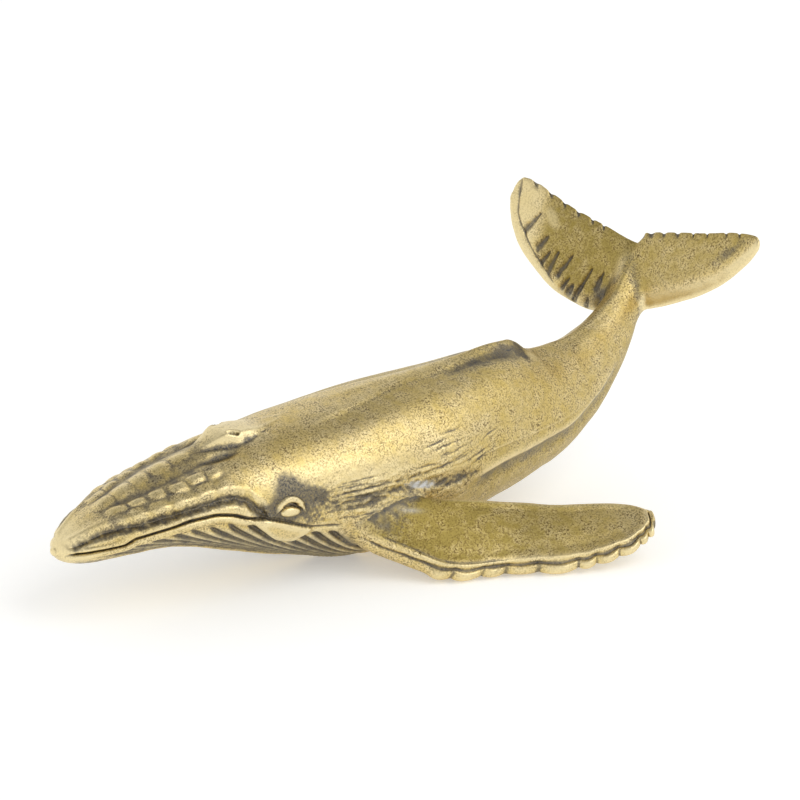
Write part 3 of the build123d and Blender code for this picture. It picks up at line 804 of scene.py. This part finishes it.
def flipper_frame(place):
    """Leading and trailing edge, direction of the span and normal at places along the flipper."""
    ease, nearby = 0.25, 0.2
    eased = [along(FLIPPER_LEAD, np.clip(place + shift, 0, FLIPPER_TIP)) for shift in (-ease, 0, ease)]
    lead = sum(eased) / len(eased)
    trail = along(FLIPPER_TRAIL, place)
    inner, outer = np.maximum(place - nearby, 0), np.minimum(place + nearby, FLIPPER_TIP)
    middle_in = along(FLIPPER_LEAD, inner) + along(FLIPPER_TRAIL, inner)
    middle_out = along(FLIPPER_LEAD, outer) + along(FLIPPER_TRAIL, outer)
    span = unit(middle_out - middle_in)
    return lead, trail, span, unit(np.cross(trail - lead, span))


def flipper_knobs(place):
    """How far out the leading edge stands: 0 between two knobs, and about 1 on a large one."""
    rng = np.random.default_rng(11)
    marks = np.linspace(KNOBS_FROM, KNOBS_TO, KNOBS + 1) + rng.uniform(-0.11, 0.11, KNOBS + 1)
    sizes = rng.uniform(0.55, 1.2, KNOBS + 1)
    count = np.interp(place, marks, np.arange(KNOBS + 1.0), left=0.0, right=float(KNOBS))
    wave = np.abs(np.sin(pi * count)) ** 0.8 * sizes[np.minimum(count.astype(int), KNOBS)]
    return wave * rise(place, marks[0], 0.4)


def flipper_mesh(cut, name, start, end):
    """The left flipper between two places on its span: a dished blade with a bead, a groove and knobs."""
    root_rows, blade_rows, columns = 101, 314, 200
    bead_height, dish_depth, line_depth, knob_height = 0.12, 0.2, 0.16, 0.1
    tip_spacing, tip_turn = 2.35, 4
    places = np.concatenate([
        np.linspace(0, FLIPPER_SEAT, root_rows), np.linspace(FLIPPER_FILM_END, FLIPPER_TIP, blade_rows),
    ])
    angles = np.linspace(0, 2 * pi, columns, endpoint=False)
    place, angle = np.meshgrid(places, angles, indexing="ij")
    lead, trail, _, normal = flipper_frame(place)
    chord = np.linalg.norm(trail - lead, axis=-1)
    from_lead = (1 + np.cos(angle)) / 2 * chord
    from_trail = chord - from_lead
    upper = fall(np.sin(angle), 0, 0.1)
    wave, edge = flipper_knobs(place), fall(from_lead, 0.8, 0.6)
    thickness = between(np.arange(len(FLIPPER_THICKNESS)), FLIPPER_THICKNESS, place)
    points = blade_points(lead, trail, normal, thickness, angle)
    points = points + unit(lead - trail) * (cut.knob * wave * edge)[..., None]

    # The groove and the bead follow the leading edge and turn round the tip
    from_tip = (FLIPPER_TIP - place) * tip_spacing + 0.3
    from_edge = -np.logaddexp(-tip_turn * from_lead, -tip_turn * from_tip) / tip_turn
    inside = from_edge - (0.66 - 0.1 * wave + 0.07 * lumps(points, 2.0, 12))
    blade = rise(place, 0.8, 0.6) * rise(from_trail, 0.1, 0.4)
    groove = ridge(inside, 0.14) * upper * blade
    bead = ridge(inside - 0.4, 0.26) * upper * blade
    dish = rise(inside, 0.5, 1.3) * smooth_step(from_trail) * upper * rise(place, 2.0, 1.2)
    second = between([1.0, 2.0, 3.0, 4.2], [1.75, 1.6, 1.3, 1.15], place)
    root_line = ridge(from_lead - second, 0.13) * upper * window(place, 0.8, 4.4, 0.8)
    crumple = (0.08 * lumps(points, 0.8, 13) + 0.05 * lumps(points, 0.45, 14)) * fall(place, 2.0, 0.8)
    relief = bead_height * bead - dish_depth * dish - cut.flipper_groove * groove - line_depth * root_line
    relief = relief + crumple + knob_height * edge * wave
    relief = relief + 0.05 * lumps(points, 5.0, 5) + 0.02 * lumps(points, 1.6, 6)
    points = points + normals_of(points) * relief[..., None]
    points[..., 2] = np.maximum(points[..., 2], 0.0)

    valleys = edge * fall(wave, 0.45, 0.35) * rise(place, KNOBS_FROM, 0.4)
    root = fall(place, 2.1, 1.0) * rise(from_lead, 1.6, 1.0) * upper
    root = root * (1 + 0.6 * lumps(points, 0.8, 15)) - 3 * np.minimum(crumple, 0)
    smear = spot(place, from_trail, (1.5, 1.9), (0.28, 0.35)) * upper
    dark = np.clip(0.95 * groove + 0.7 * root_line + 0.75 * valleys + 0.6 * root, 0, 1)
    bright = np.clip(0.8 * bead + edge * wave + ridge(from_trail, 0.25), 0, 1)
    toned = np.interp(place, [0.4, 1.5, 2.5, 4.5, 7.0], [0, 1, 1, 0.75, 0.25])
    fields = {
        "patina": dark * (1 - 0.9 * smear),
        "polish": bright * rise(place, 1.5, 1.0),
        "solder": 0.4 * smear,
        "tarnish": rise(inside, 0.4, 0.8) * (0.35 + 0.65 * upper) * toned,
    }
    points, fields = taken(points, fields, (places >= start) & (places <= end))
    if end == FLIPPER_TIP:
        points, fields = round_end(*taken(points, fields, LAST_TO_FIRST), bulge=0.35)
    return grid_mesh(name, points, fields)


def flipper_seat():
    """Middle of the filed seat and its direction out along the flipper."""
    lead, trail, span, normal = flipper_frame(np.array(FLIPPER_SEAT))
    facing = np.cross(normal, trail - lead)
    return (lead + trail) / 2, unit(facing if facing @ span > 0 else -facing)


def fluke_axes():
    """Directions towards the left tip, towards the trailing edge and out of the upper side."""
    yaw, pitch, roll = radians(FLUKE_YAW), radians(FLUKE_PITCH), radians(FLUKE_ROLL)
    heading, left = np.array([cos(yaw), sin(yaw), 0]), np.array([sin(yaw), -cos(yaw), 0])
    up = np.array([0.0, 0.0, 1.0])
    aft = heading * cos(pitch) + up * sin(pitch)
    above = up * cos(pitch) - heading * sin(pitch)
    return left * cos(roll) + above * sin(roll), aft, above * cos(roll) - left * sin(roll)


def fluke_slashes(out, from_lead, points):
    """Cuts across the right fluke, wide near the leading edge and pointed at the far end."""
    slash = np.zeros_like(out)
    for i, (foot, end) in enumerate(SLASHES):
        share = share_along(out, from_lead, foot, end)
        width = (0.26 + 0.05 * sin(2.3 * i)) * (1.1 - 0.75 * share**2)
        distance = from_lines(out, from_lead, (foot, end)) + 0.08 * lumps(points, 1.0, 60 + i)
        slash = np.maximum(slash, ridge(distance, width))
    return slash


def fluke_notches(out, from_trail):
    """Small slanting nicks in the trailing edge."""
    notch = np.zeros_like(out)
    for place, size in NOTCHES:
        nick = ridge(out - place - 0.35 * (from_trail - 0.3), 1.3 * size) * fall(from_trail, 0.9, 0.7)
        notch = np.maximum(notch, nick)
    return notch


def flukes_mesh(cut):
    """Both flukes in one sweep, right tip to left tip, with the slashes, rim and notches of the casting."""
    rows, columns, tip_bulge = 420, 180, 0.2
    spine_height, rim_height, disc_height, rim_line_depth, notch_depth = 0.55, 0.1, 0.1, 0.14, 0.2
    left, aft, above = fluke_axes()
    outs = np.linspace(FLUKE_RIBS[0, 0], FLUKE_RIBS[-1, 0], rows)
    angles = np.linspace(0, 2 * pi, columns, endpoint=False)
    out, angle = np.meshgrid(outs, angles, indexing="ij")
    lead_at, trail_at, thickness = (between(FLUKE_RIBS[:, 0], rib, out) for rib in FLUKE_RIBS[:, 1:].T)
    lift = np.hypot(out, 0.6) * tan(radians(FLUKE_DIHEDRAL))
    base = FLUKE_ROOT + left * out[..., None] + above * lift[..., None]
    lead, trail = base + aft * lead_at[..., None], base + aft * trail_at[..., None]
    points = blade_points(lead, trail, np.broadcast_to(above, base.shape), thickness, angle)
    chord = trail_at - lead_at
    from_lead = (1 + np.cos(angle)) / 2 * chord
    from_trail = chord - from_lead
    upper = rise(np.sin(angle), 0, 0.1)

    spine = ridge(out + 0.5 - 0.06 * (from_lead - 6), 0.8) * rise(from_trail, 0.3, 2.5) * upper
    slash = fluke_slashes(out, from_lead, points) * upper
    rim_width = between([-14.7, -13.2, -11.5, -8.6], [0.24, 0.2, 0.14, 0.12], out)
    rim_line = ridge(from_lines(out, from_lead, FLUKE_RIM), rim_width) * upper
    rim = fall(from_lead, 1.2, 0.6) * upper * fall(out, -8.0, 3.0)
    disc = fall(np.hypot(out + 10.0, from_lead - 6.7), 1.3, 0.9) * upper
    notch = fluke_notches(out, from_trail)
    relief = spine_height * spine + rim_height * rim + disc_height * disc - cut.slash * slash
    relief = relief - rim_line_depth * rim_line - notch_depth * notch
    relief = relief + 0.05 * lumps(points, 4.0, 8) + 0.02 * lumps(points, 1.6, 9)
    relief = relief * window(out, outs[0], outs[-1], 0.9)
    points = points + normals_of(points) * relief[..., None]

    smudge = spot(out, from_lead, (11.8, 3.3), (1.8, 0.9)) * upper
    # Painted shade: dark spots at the foot of both flukes beside the stock, and a shaded patch at the right
    # fluke's root, added to the patina
    root_shade_left = spot(out, from_lead, (1.1, 2.2), (0.7, 1.2))
    root_shade_right = spot(out, from_lead, (-2.4, 1.6), (1.2, 1.6))
    foot = np.maximum(root_shade_left, root_shade_right) * upper
    shaded = fall(out, -1.0, 2) * rise(out, -9.0, 3) * fall(from_lead, 3.0, 2) * upper
    dark = 0.9 * slash + 0.8 * rim_line + notch + 0.65 * smudge + 0.55 * foot + 0.3 * shaded
    # The bright band along the leading edge is rubbed wear and partly a painted highlight, wider on the left
    # fluke. The brightening of the right fluke's outer end is a painted highlight.
    worn_and_highlit_edge = np.where(out < 0, 0.8, 1.6)
    edge = fall(from_lead, worn_and_highlit_edge + 0.6, 1.1)
    bright = 0.6 * spine + rim + 0.5 * disc + edge + 0.7 * fall(out, -10.5, 2)
    toned = np.where(out < 0, 0.8, 0.5)
    fields = {
        "patina": np.clip(dark, 0, 1),
        "polish": np.clip(bright, 0, 1),
        "solder": np.zeros_like(out),
        "tarnish": toned * rise(from_lead, worn_and_highlit_edge, 1.5) * rise(out, -12.5, 3),
    }
    points, fields = round_end(points, fields, tip_bulge)
    points, fields = round_end(*taken(points, fields, LAST_TO_FIRST), tip_bulge)
    return grid_mesh("flukes", points, fields)


def tail_seat():
    """Middle of the filed seat on the tail stock and its direction towards the flukes."""
    x = np.array(TAIL_SEAT_X)
    return np.array(station_at(x)[:3]), section_axes(x)[2]


def stock_mesh(start, end, name):
    """A stretch of bare tail stock between two places along the spine."""
    before, after = 8, 5
    xs = np.concatenate([np.arange(start - before * TAIL_STEP, end - SLACK, TAIL_STEP), [end]])
    if end < STOCK_END_X:
        xs = np.concatenate([xs, end + TAIL_STEP * np.arange(1, after)])
    skin = trunk_skin(xs, COLUMNS)
    relief = bare_relief(skin)
    points = skin.points + normals_of(skin.points) * relief[..., None]
    none = np.zeros_like(relief)
    patina, polish = worn(relief, none)
    fields = {"patina": patina, "polish": polish, "solder": none, "tarnish": toning_and_underside_shade(skin)}
    rows = (skin.x[:, 0] > start - SLACK) & (skin.x[:, 0] < end + SLACK)
    return grid_mesh(name, *taken(points, fields, rows))


# Materials
def add(tree, kind, inputs=(), **settings):
    """Add a shader node. Its inputs, by name or in order, are values, or nodes or sockets that feed them."""
    node = tree.nodes.new("ShaderNode" + kind)
    for name, value in settings.items():
        setattr(node, name, value)
    for name, value in inputs.items() if isinstance(inputs, dict) else enumerate(inputs):
        if isinstance(value, bpy.types.Node):
            value = next(socket for socket in value.outputs if socket.enabled)
        if isinstance(value, bpy.types.NodeSocket):
            tree.links.new(value, node.inputs[name])
        else:
            node.inputs[name].default_value = value
    return node


def new_material(name):
    material = bpy.data.materials.new(name)
    material.use_nodes = True
    material.node_tree.nodes.clear()
    return material, material.node_tree


def per_metre(size_mm):
    """Texture scale at which one cell is that many millimetres wide."""
    return 1 / (size_mm * MM)


def toned_brass(name, finish):
    """Brass, chemically blackened and then rubbed back by hand.

    The rubbing leaves bright gold on the high spots, an olive-gold satin on the open skin, dark grey in
    the hollows and a fine pitted grain all over. The same layers also paint the highlights and the shade
    that the meshes put into their attributes.
    """
    dull_roughness, rubbed_gloss, grain_depth = 0.52, 0.06, 0.06 * MM
    material, tree = new_material(name)
    place = add(tree, "TexCoord").outputs["Object"]
    # Besides wear and toning, the polish holds painted highlights, and the tarnish and patina hold painted
    # shade
    patina, polish, tin, tarnish = (
        add(tree, "Attribute", attribute_name=field).outputs["Fac"]
        for field in ("patina", "polish", "solder", "tarnish")
    )

    # Grain of the mould, mottling of the tone, and clouds where the rubbing went deeper: size in millimetres,
    # detail and roughness. The real grain is too fine to show, and is drawn as coarse as it needs to be.
    scales = ((0.19, 2.0, 0.75), (1.3, 5.0, 0.65), (6.0, 3.0, 0.65))
    grain, mottle, cloud = (
        add(tree, "TexNoise", {
            "Vector": place, "Scale": per_metre(size), "Detail": detail, "Roughness": roughness,
        })
        for size, detail, roughness in scales
    )

    # A Map Range takes a value, the range it comes from and the one it goes to, 0 to 1 where that isn't given
    clouded = add(tree, "Math", (cloud, mottle), operation="ADD")
    cleaner = add(tree, "MapRange", (clouded, 0.78, 1.22))
    uneven = add(tree, "MapRange", (mottle, 0.35, 0.65, 1.25, 0.65))
    tarnish = add(tree, "Math", (tarnish, uneven), operation="MULTIPLY", use_clamp=True)
    pitted = add(tree, "MapRange", (grain, 0.46, 0.61))
    patchy = add(tree, "MapRange", (mottle, 0.35, 0.65, 0.3))
    unworn = add(tree, "MapRange", (polish, 0.0, 1.0, 0.95, 0.22))
    pits = add(tree, "Math", (pitted, patchy), operation="MULTIPLY")
    pits = add(tree, "Math", (pits, unworn), operation="MULTIPLY")
    edge = add(tree, "Math", (patina, grain), operation="ADD")
    edge = add(tree, "Math", (edge, mottle), operation="ADD")
    black = add(tree, "MapRange", (edge, 1.2, 1.8))
    rubbed = add(tree, "MapRange", (grain, 0.4, 0.65, 1.0, 0.5))
    dark = add(tree, "Math", (black, rubbed), operation="MULTIPLY")
    tone = (*finish.olive, 1)
    layers = (
        (cleaner, finish.gold), (tarnish, finish.tarnish), (polish, finish.bright), (pits, finish.shade),
        (dark, finish.patina), (tin, finish.solder),
    )
    for share, layer in layers:
        tone = add(tree, "Mix", {"Factor": share, "A": tone, "B": (*layer, 1)}, data_type="RGBA")
    dull = add(tree, "Math", (dark, tarnish), operation="MAXIMUM")
    rough = add(tree, "MapRange", (dull, 0.0, 1.0, finish.satin, dull_roughness))
    rough = add(tree, "Math", (polish, -rubbed_gloss, rough), operation="MULTIPLY_ADD")
    bump = add(tree, "Bump", {"Strength": 0.6, "Distance": grain_depth, "Height": grain})
    shader = add(tree, "BsdfPrincipled", {
        "Base Color": tone, "Metallic": 1.0, "Roughness": rough, "Normal": bump,
    })
    add(tree, "OutputMaterial", {"Surface": shader})
    return material


def drawn_brass(finish):
    """Drawn brass rod: bright, with a gloss that the die left a little uneven."""
    material, tree = new_material("drawn_brass_rod")
    place = add(tree, "TexCoord").outputs["Object"]
    drag = add(tree, "TexNoise", {"Vector": place, "Scale": per_metre(0.3), "Detail": 3.0})
    rough = add(tree, "MapRange", (drag, 0.0, 1.0, 0.2, 0.35))
    shader = add(tree, "BsdfPrincipled", {
        "Base Color": (*finish.bright, 1), "Metallic": 1.0, "Roughness": rough,
    })
    add(tree, "OutputMaterial", {"Surface": shader})
    return material


# Properties
def depth(name, description, millimetres):
    """A length of the carving, set in the scene's metres."""
    return FloatProperty(
        name=name, description=description, default=millimetres * MM, min=0.0, unit="LENGTH"
    )


def colour(name, description, hex_colour):
    """A colour given as sRGB hex, kept as scene linear."""
    return FloatVectorProperty(
        name=name, description=description, default=linear(hex_colour), subtype="COLOR", min=0, max=1
    )


class WhaleCarving(bpy.types.PropertyGroup):
    """How deep the carving is cut."""

    lip_groove: depth("Lip groove", "Depth of the groove over the upper lip", 0.5)
    mouth_slit: depth("Mouth", "Depth of the slit between the lips", 0.35)
    pleat: depth("Pleats", "Depth of the throat pleats", 0.38)
    eye: depth("Eye", "Half the length of the eyeball", 1.2)
    blowhole: depth("Blowholes", "Depth of the nostrils", 0.9)
    tubercle: depth("Tubercles", "Height of the bosses on the rostrum", 0.24)
    wrinkle: depth("Wrinkles", "Depth of the creases on the flank", 0.1)
    knob: depth("Knobs", "How far the flippers' knobs stand out", 0.33)
    flipper_groove: depth("Flipper groove", "Depth of the groove inside the knobs", 0.22)
    slash: depth("Fluke slashes", "Depth of the cuts across the right fluke", 0.26)


class WhaleFinish(bpy.types.PropertyGroup):
    """Colours and gloss of the brass."""

    # Besides the brass's own colours, the bright colour also paints the painted highlights, the tarnish
    # colour the painted shade low on the tail, and the patina colour the painted shade at the crest's foot
    # and the flukes' roots
    bright: colour("Bright brass", "Rubbed high spots", "#EEDCAA")
    gold: colour("Gold", "Open skin where it is cleaner", "#EAD6A2")
    olive: colour("Olive gold", "Open skin where the tone is left", "#DDC47C")
    tarnish: colour("Tarnish", "Open skin that the rubbing missed", "#A69351")
    shade: colour("Shade", "Tone in the pits of the grain", "#5F4B27")
    patina: colour("Patina", "Blackened hollows", "#585757")
    solder: colour("Solder", "Silvery smear at the shoulder", "#C8CBCF")
    satin: FloatProperty(
        name="Satin", description="Roughness of the open skin", default=0.36, min=0, max=1, subtype="FACTOR"
    )


class WhaleStage(bpy.types.PropertyGroup):
    """Floor, light and camera."""

    floor: colour("Floor", "Colour of the floor", "#F4F4F2")
    key: FloatProperty(
        name="Key light", description="Power of the large lamp over the camera",
        default=0.55, min=0, unit="POWER",
    )
    lens: FloatProperty(
        name="Lens", description="Focal length of the camera", default=144.05, min=1, unit="CAMERA"
    )


def in_millimetres(carving):
    return SimpleNamespace(**{name: getattr(carving, name) / MM for name in carving.__annotations__})


# Operators
def flipper_pair(cut, label, start, end):
    """A stretch of the left flipper, bored for its dowel, and its mirror image."""
    left = add_object(f"left_{label}", flipper_mesh(cut, f"left_{label}", start, end))
    combine(left, dowel_hole_mesh("left_flipper_dowel"), "DIFFERENCE")
    right = add_object(f"right_{label}", mirrored_mesh(left.data, f"right_{label}"))
    return left, right


def casting_material(context):
    """The brass that all the castings share."""
    name = "sand_cast_brass_toned_with_painted_light"
    return bpy.data.materials.get(name) or toned_brass(name, context.scene.whale_finish)


class WHALE_OT_trunk(bpy.types.Operator):
    """Carve the trunk with its shoulders, and bore the holes for the dowels"""

    bl_idname = "whale.trunk"
    bl_label = "Carve trunk"

    def execute(self, context):
        soften = 1.0
        cut = in_millimetres(context.scene.whale_carving)
        points, fields = carved_trunk(cut)
        piece = add_object("trunk_carved", grid_mesh("trunk_carved", points, fields))
        seat, facing = flipper_seat()
        left = flipper_mesh(cut, "shoulder_left", 0.0, FLIPPER_SEAT)
        right = mirrored_mesh(left, "shoulder_right")
        for mesh in (left, right):
            combine(piece, mesh, "UNION", soften, (seat, facing))
            seat, facing = seat * (1, -1, 1), facing * (1, -1, 1)
        for node in DOWELS:
            combine(piece, dowel_hole_mesh(node), "DIFFERENCE")
        flatten_seat(piece.data, tail_seat())
        finish_piece(piece, casting_material(context), "cast_brass", "trunk")
        return {"FINISHED"}


class WHALE_OT_flippers(bpy.types.Operator):
    """Make both flippers from the shoulder joint to the tip"""

    bl_idname = "whale.flippers"
    bl_label = "Make flippers"

    def execute(self, context):
        cut = in_millimetres(context.scene.whale_carving)
        left, right = flipper_pair(cut, "flipper_carved", FLIPPER_FILM_END, FLIPPER_TIP)
        for piece, node in ((left, "left_flipper"), (right, "right_flipper")):
            finish_piece(piece, casting_material(context), "cast_brass", node)
        return {"FINISHED"}


class WHALE_OT_flukes(bpy.types.Operator):
    """Make the tail flukes with the end of the tail stock"""

    bl_idname = "whale.flukes"
    bl_label = "Make flukes"

    def execute(self, context):
        soften = 1.6
        mesh = flukes_mesh(in_millimetres(context.scene.whale_carving))
        piece = add_object("tail_flukes_carved", mesh)
        stock = stock_mesh(TAIL_SEAT_X + SOLDER_FILM, STOCK_END_X, "stock")
        combine(piece, stock, "UNION", soften, tail_seat())
        combine(piece, dowel_hole_mesh("tail_dowel"), "DIFFERENCE")
        finish_piece(piece, casting_material(context), "cast_brass", "tail_flukes")
        return {"FINISHED"}


class WHALE_OT_joints(bpy.types.Operator):
    """Finish the solder in the three joints, and the dowels inside them"""

    bl_idname = "whale.joints"
    bl_label = "Finish joints"

    def execute(self, context):
        finish = context.scene.whale_finish
        solder, rod = toned_brass("brass_solder_toned_with_painted_shade", finish), drawn_brass(finish)
        cut = in_millimetres(context.scene.whale_carving)
        left, right = flipper_pair(cut, "flipper_seam", FLIPPER_SEAT, FLIPPER_FILM_END)
        tail = add_object("tail_seam", stock_mesh(TAIL_SEAT_X, TAIL_SEAT_X + SOLDER_FILM, "tail_seam"))
        combine(tail, dowel_hole_mesh("tail_dowel"), "DIFFERENCE")
        films = ((left, "left_flipper_solder"), (right, "right_flipper_solder"), (tail, "tail_solder"))
        for piece, node in films:
            finish_piece(piece, solder, "solder", node)
        for node in DOWELS:
            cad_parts[node].data.materials.clear()
            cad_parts[node].data.materials.append(rod)
        return {"FINISHED"}


class WHALE_OT_stage(bpy.types.Operator):
    """Set the floor, the light and the camera"""

    bl_idname = "whale.stage"
    bl_label = "Set stage"

    def execute(self, context):
        stage = context.scene.whale_stage
        context.scene.view_settings.view_transform = "Standard"
        set_floor(stage)
        set_light(context, stage)
        set_camera(context, stage)
        return {"FINISHED"}


# Stage
def set_floor(stage):
    """Wide white sweep: camera and mirror rays see plain white, and the whale's soft shadow stays."""
    radius, under_whale, whitening = 3.0, 0.02 * MM, (0.3, 0.3, 0.3, 1)
    build = bmesh.new()
    bmesh.ops.create_circle(build, cap_ends=True, segments=96, radius=radius)
    mesh = bpy.data.meshes.new("floor")
    build.to_mesh(mesh)
    build.free()
    floor = add_object("floor", mesh)
    floor.location.z = -under_whale
    material, tree = new_material("white_paper_sweep")
    paper = add(tree, "BsdfDiffuse", {"Color": (*stage.floor, 1)})
    path = add(tree, "LightPath").outputs
    seen = path["Is Camera Ray"]
    for ray in ("Is Glossy Ray", "Is Transmission Ray"):
        seen = add(tree, "Math", (seen, path[ray]), operation="MAXIMUM")
    glow = add(tree, "Emission", {"Color": whitening, "Strength": seen})
    both = add(tree, "AddShader", (paper, glow))
    add(tree, "OutputMaterial", {"Surface": both})
    mesh.materials.append(material)


def set_light(context, stage):
    """A light tent that is white round its sides and dim overhead, and a large lamp over the camera."""
    dim_from, dim_to, overhead = radians(32), radians(60), 0.48
    lamp_size, lamp_distance, lamp_side = 0.4, 0.5, Vector((0.3, -0.55, 0.78))
    world = bpy.data.worlds.new("light_tent")
    context.scene.world = world
    world.use_nodes = True
    tree = world.node_tree
    tree.nodes.clear()
    direction = add(tree, "TexCoord").outputs["Generated"]
    height = add(tree, "SeparateXYZ", {"Vector": direction}).outputs["Z"]
    ranges = (height, sin(dim_from), sin(dim_to), 1.0, overhead)
    dimmed = add(tree, "MapRange", ranges, interpolation_type="SMOOTHSTEP")
    background = add(tree, "Background", {"Color": (1, 1, 1, 1), "Strength": dimmed})
    add(tree, "OutputWorld", {"Surface": background})
    lamp = bpy.data.lights.new("key", "AREA")
    lamp.shape = "DISK"
    lamp.size = lamp_size
    lamp.energy = stage.key
    key = add_object("key", lamp)
    key.location = lamp_side.normalized() * lamp_distance
    key.rotation_euler = (-Vector(key.location)).to_track_quat("-Z", "Y").to_euler()


def set_camera(context, stage):
    """Camera to the left of the head, a little above the whale."""
    azimuth, elevation, distance = radians(-35.0), radians(20.0), 330.0
    image, sensor = 800.0, 36.0
    belly_pixel = (335.0, 549.0)
    right = Vector((cos(azimuth), sin(azimuth), 0))
    back = Vector((sin(azimuth) * cos(elevation), -cos(azimuth) * cos(elevation), sin(elevation)))
    up = back.cross(right)
    per_pixel = sensor / (stage.lens * image)
    across, down = (belly_pixel[0] - image / 2) * per_pixel, (belly_pixel[1] - image / 2) * per_pixel
    eye = (back - right * across + up * down) * distance + Vector(SHIFT)
    data = bpy.data.cameras.new("camera")
    data.lens = stage.lens
    data.sensor_width = sensor
    data.clip_start = 10 * MM
    camera = add_object("camera", data)
    turn = Matrix((right, up, back)).transposed().to_4x4()
    camera.matrix_world = Matrix.Translation(eye * MM) @ turn
    context.scene.camera = camera


class WHALE_PT_panel(bpy.types.Panel):
    """Steps that build the whale"""

    bl_idname = "WHALE_PT_panel"
    bl_label = "Brass whale"
    bl_space_type = "VIEW_3D"
    bl_region_type = "UI"
    bl_category = "Whale"

    def draw(self, context):
        for operator in OPERATORS:
            self.layout.operator(operator.bl_idname)
        for group in (context.scene.whale_carving, context.scene.whale_finish, context.scene.whale_stage):
            box = self.layout.box()
            for name in group.__annotations__:
                box.prop(group, name)


GROUPS = {"whale_carving": WhaleCarving, "whale_finish": WhaleFinish, "whale_stage": WhaleStage}
OPERATORS = (WHALE_OT_trunk, WHALE_OT_flippers, WHALE_OT_flukes, WHALE_OT_joints, WHALE_OT_stage)


def register():
    for kind in (*GROUPS.values(), *OPERATORS, WHALE_PT_panel):
        bpy.utils.register_class(kind)
    for name, group in GROUPS.items():
        setattr(bpy.types.Scene, name, PointerProperty(type=group))


def unregister():
    for name in GROUPS:
        delattr(bpy.types.Scene, name)
    for kind in (WHALE_PT_panel, *reversed(OPERATORS), *reversed(GROUPS.values())):
        bpy.utils.unregister_class(kind)


def main():
    register()
    bpy.ops.whale.trunk()
    bpy.ops.whale.flippers()
    bpy.ops.whale.flukes()
    bpy.ops.whale.joints()
    bpy.ops.whale.stage()


if __name__ == "__main__":
    main()
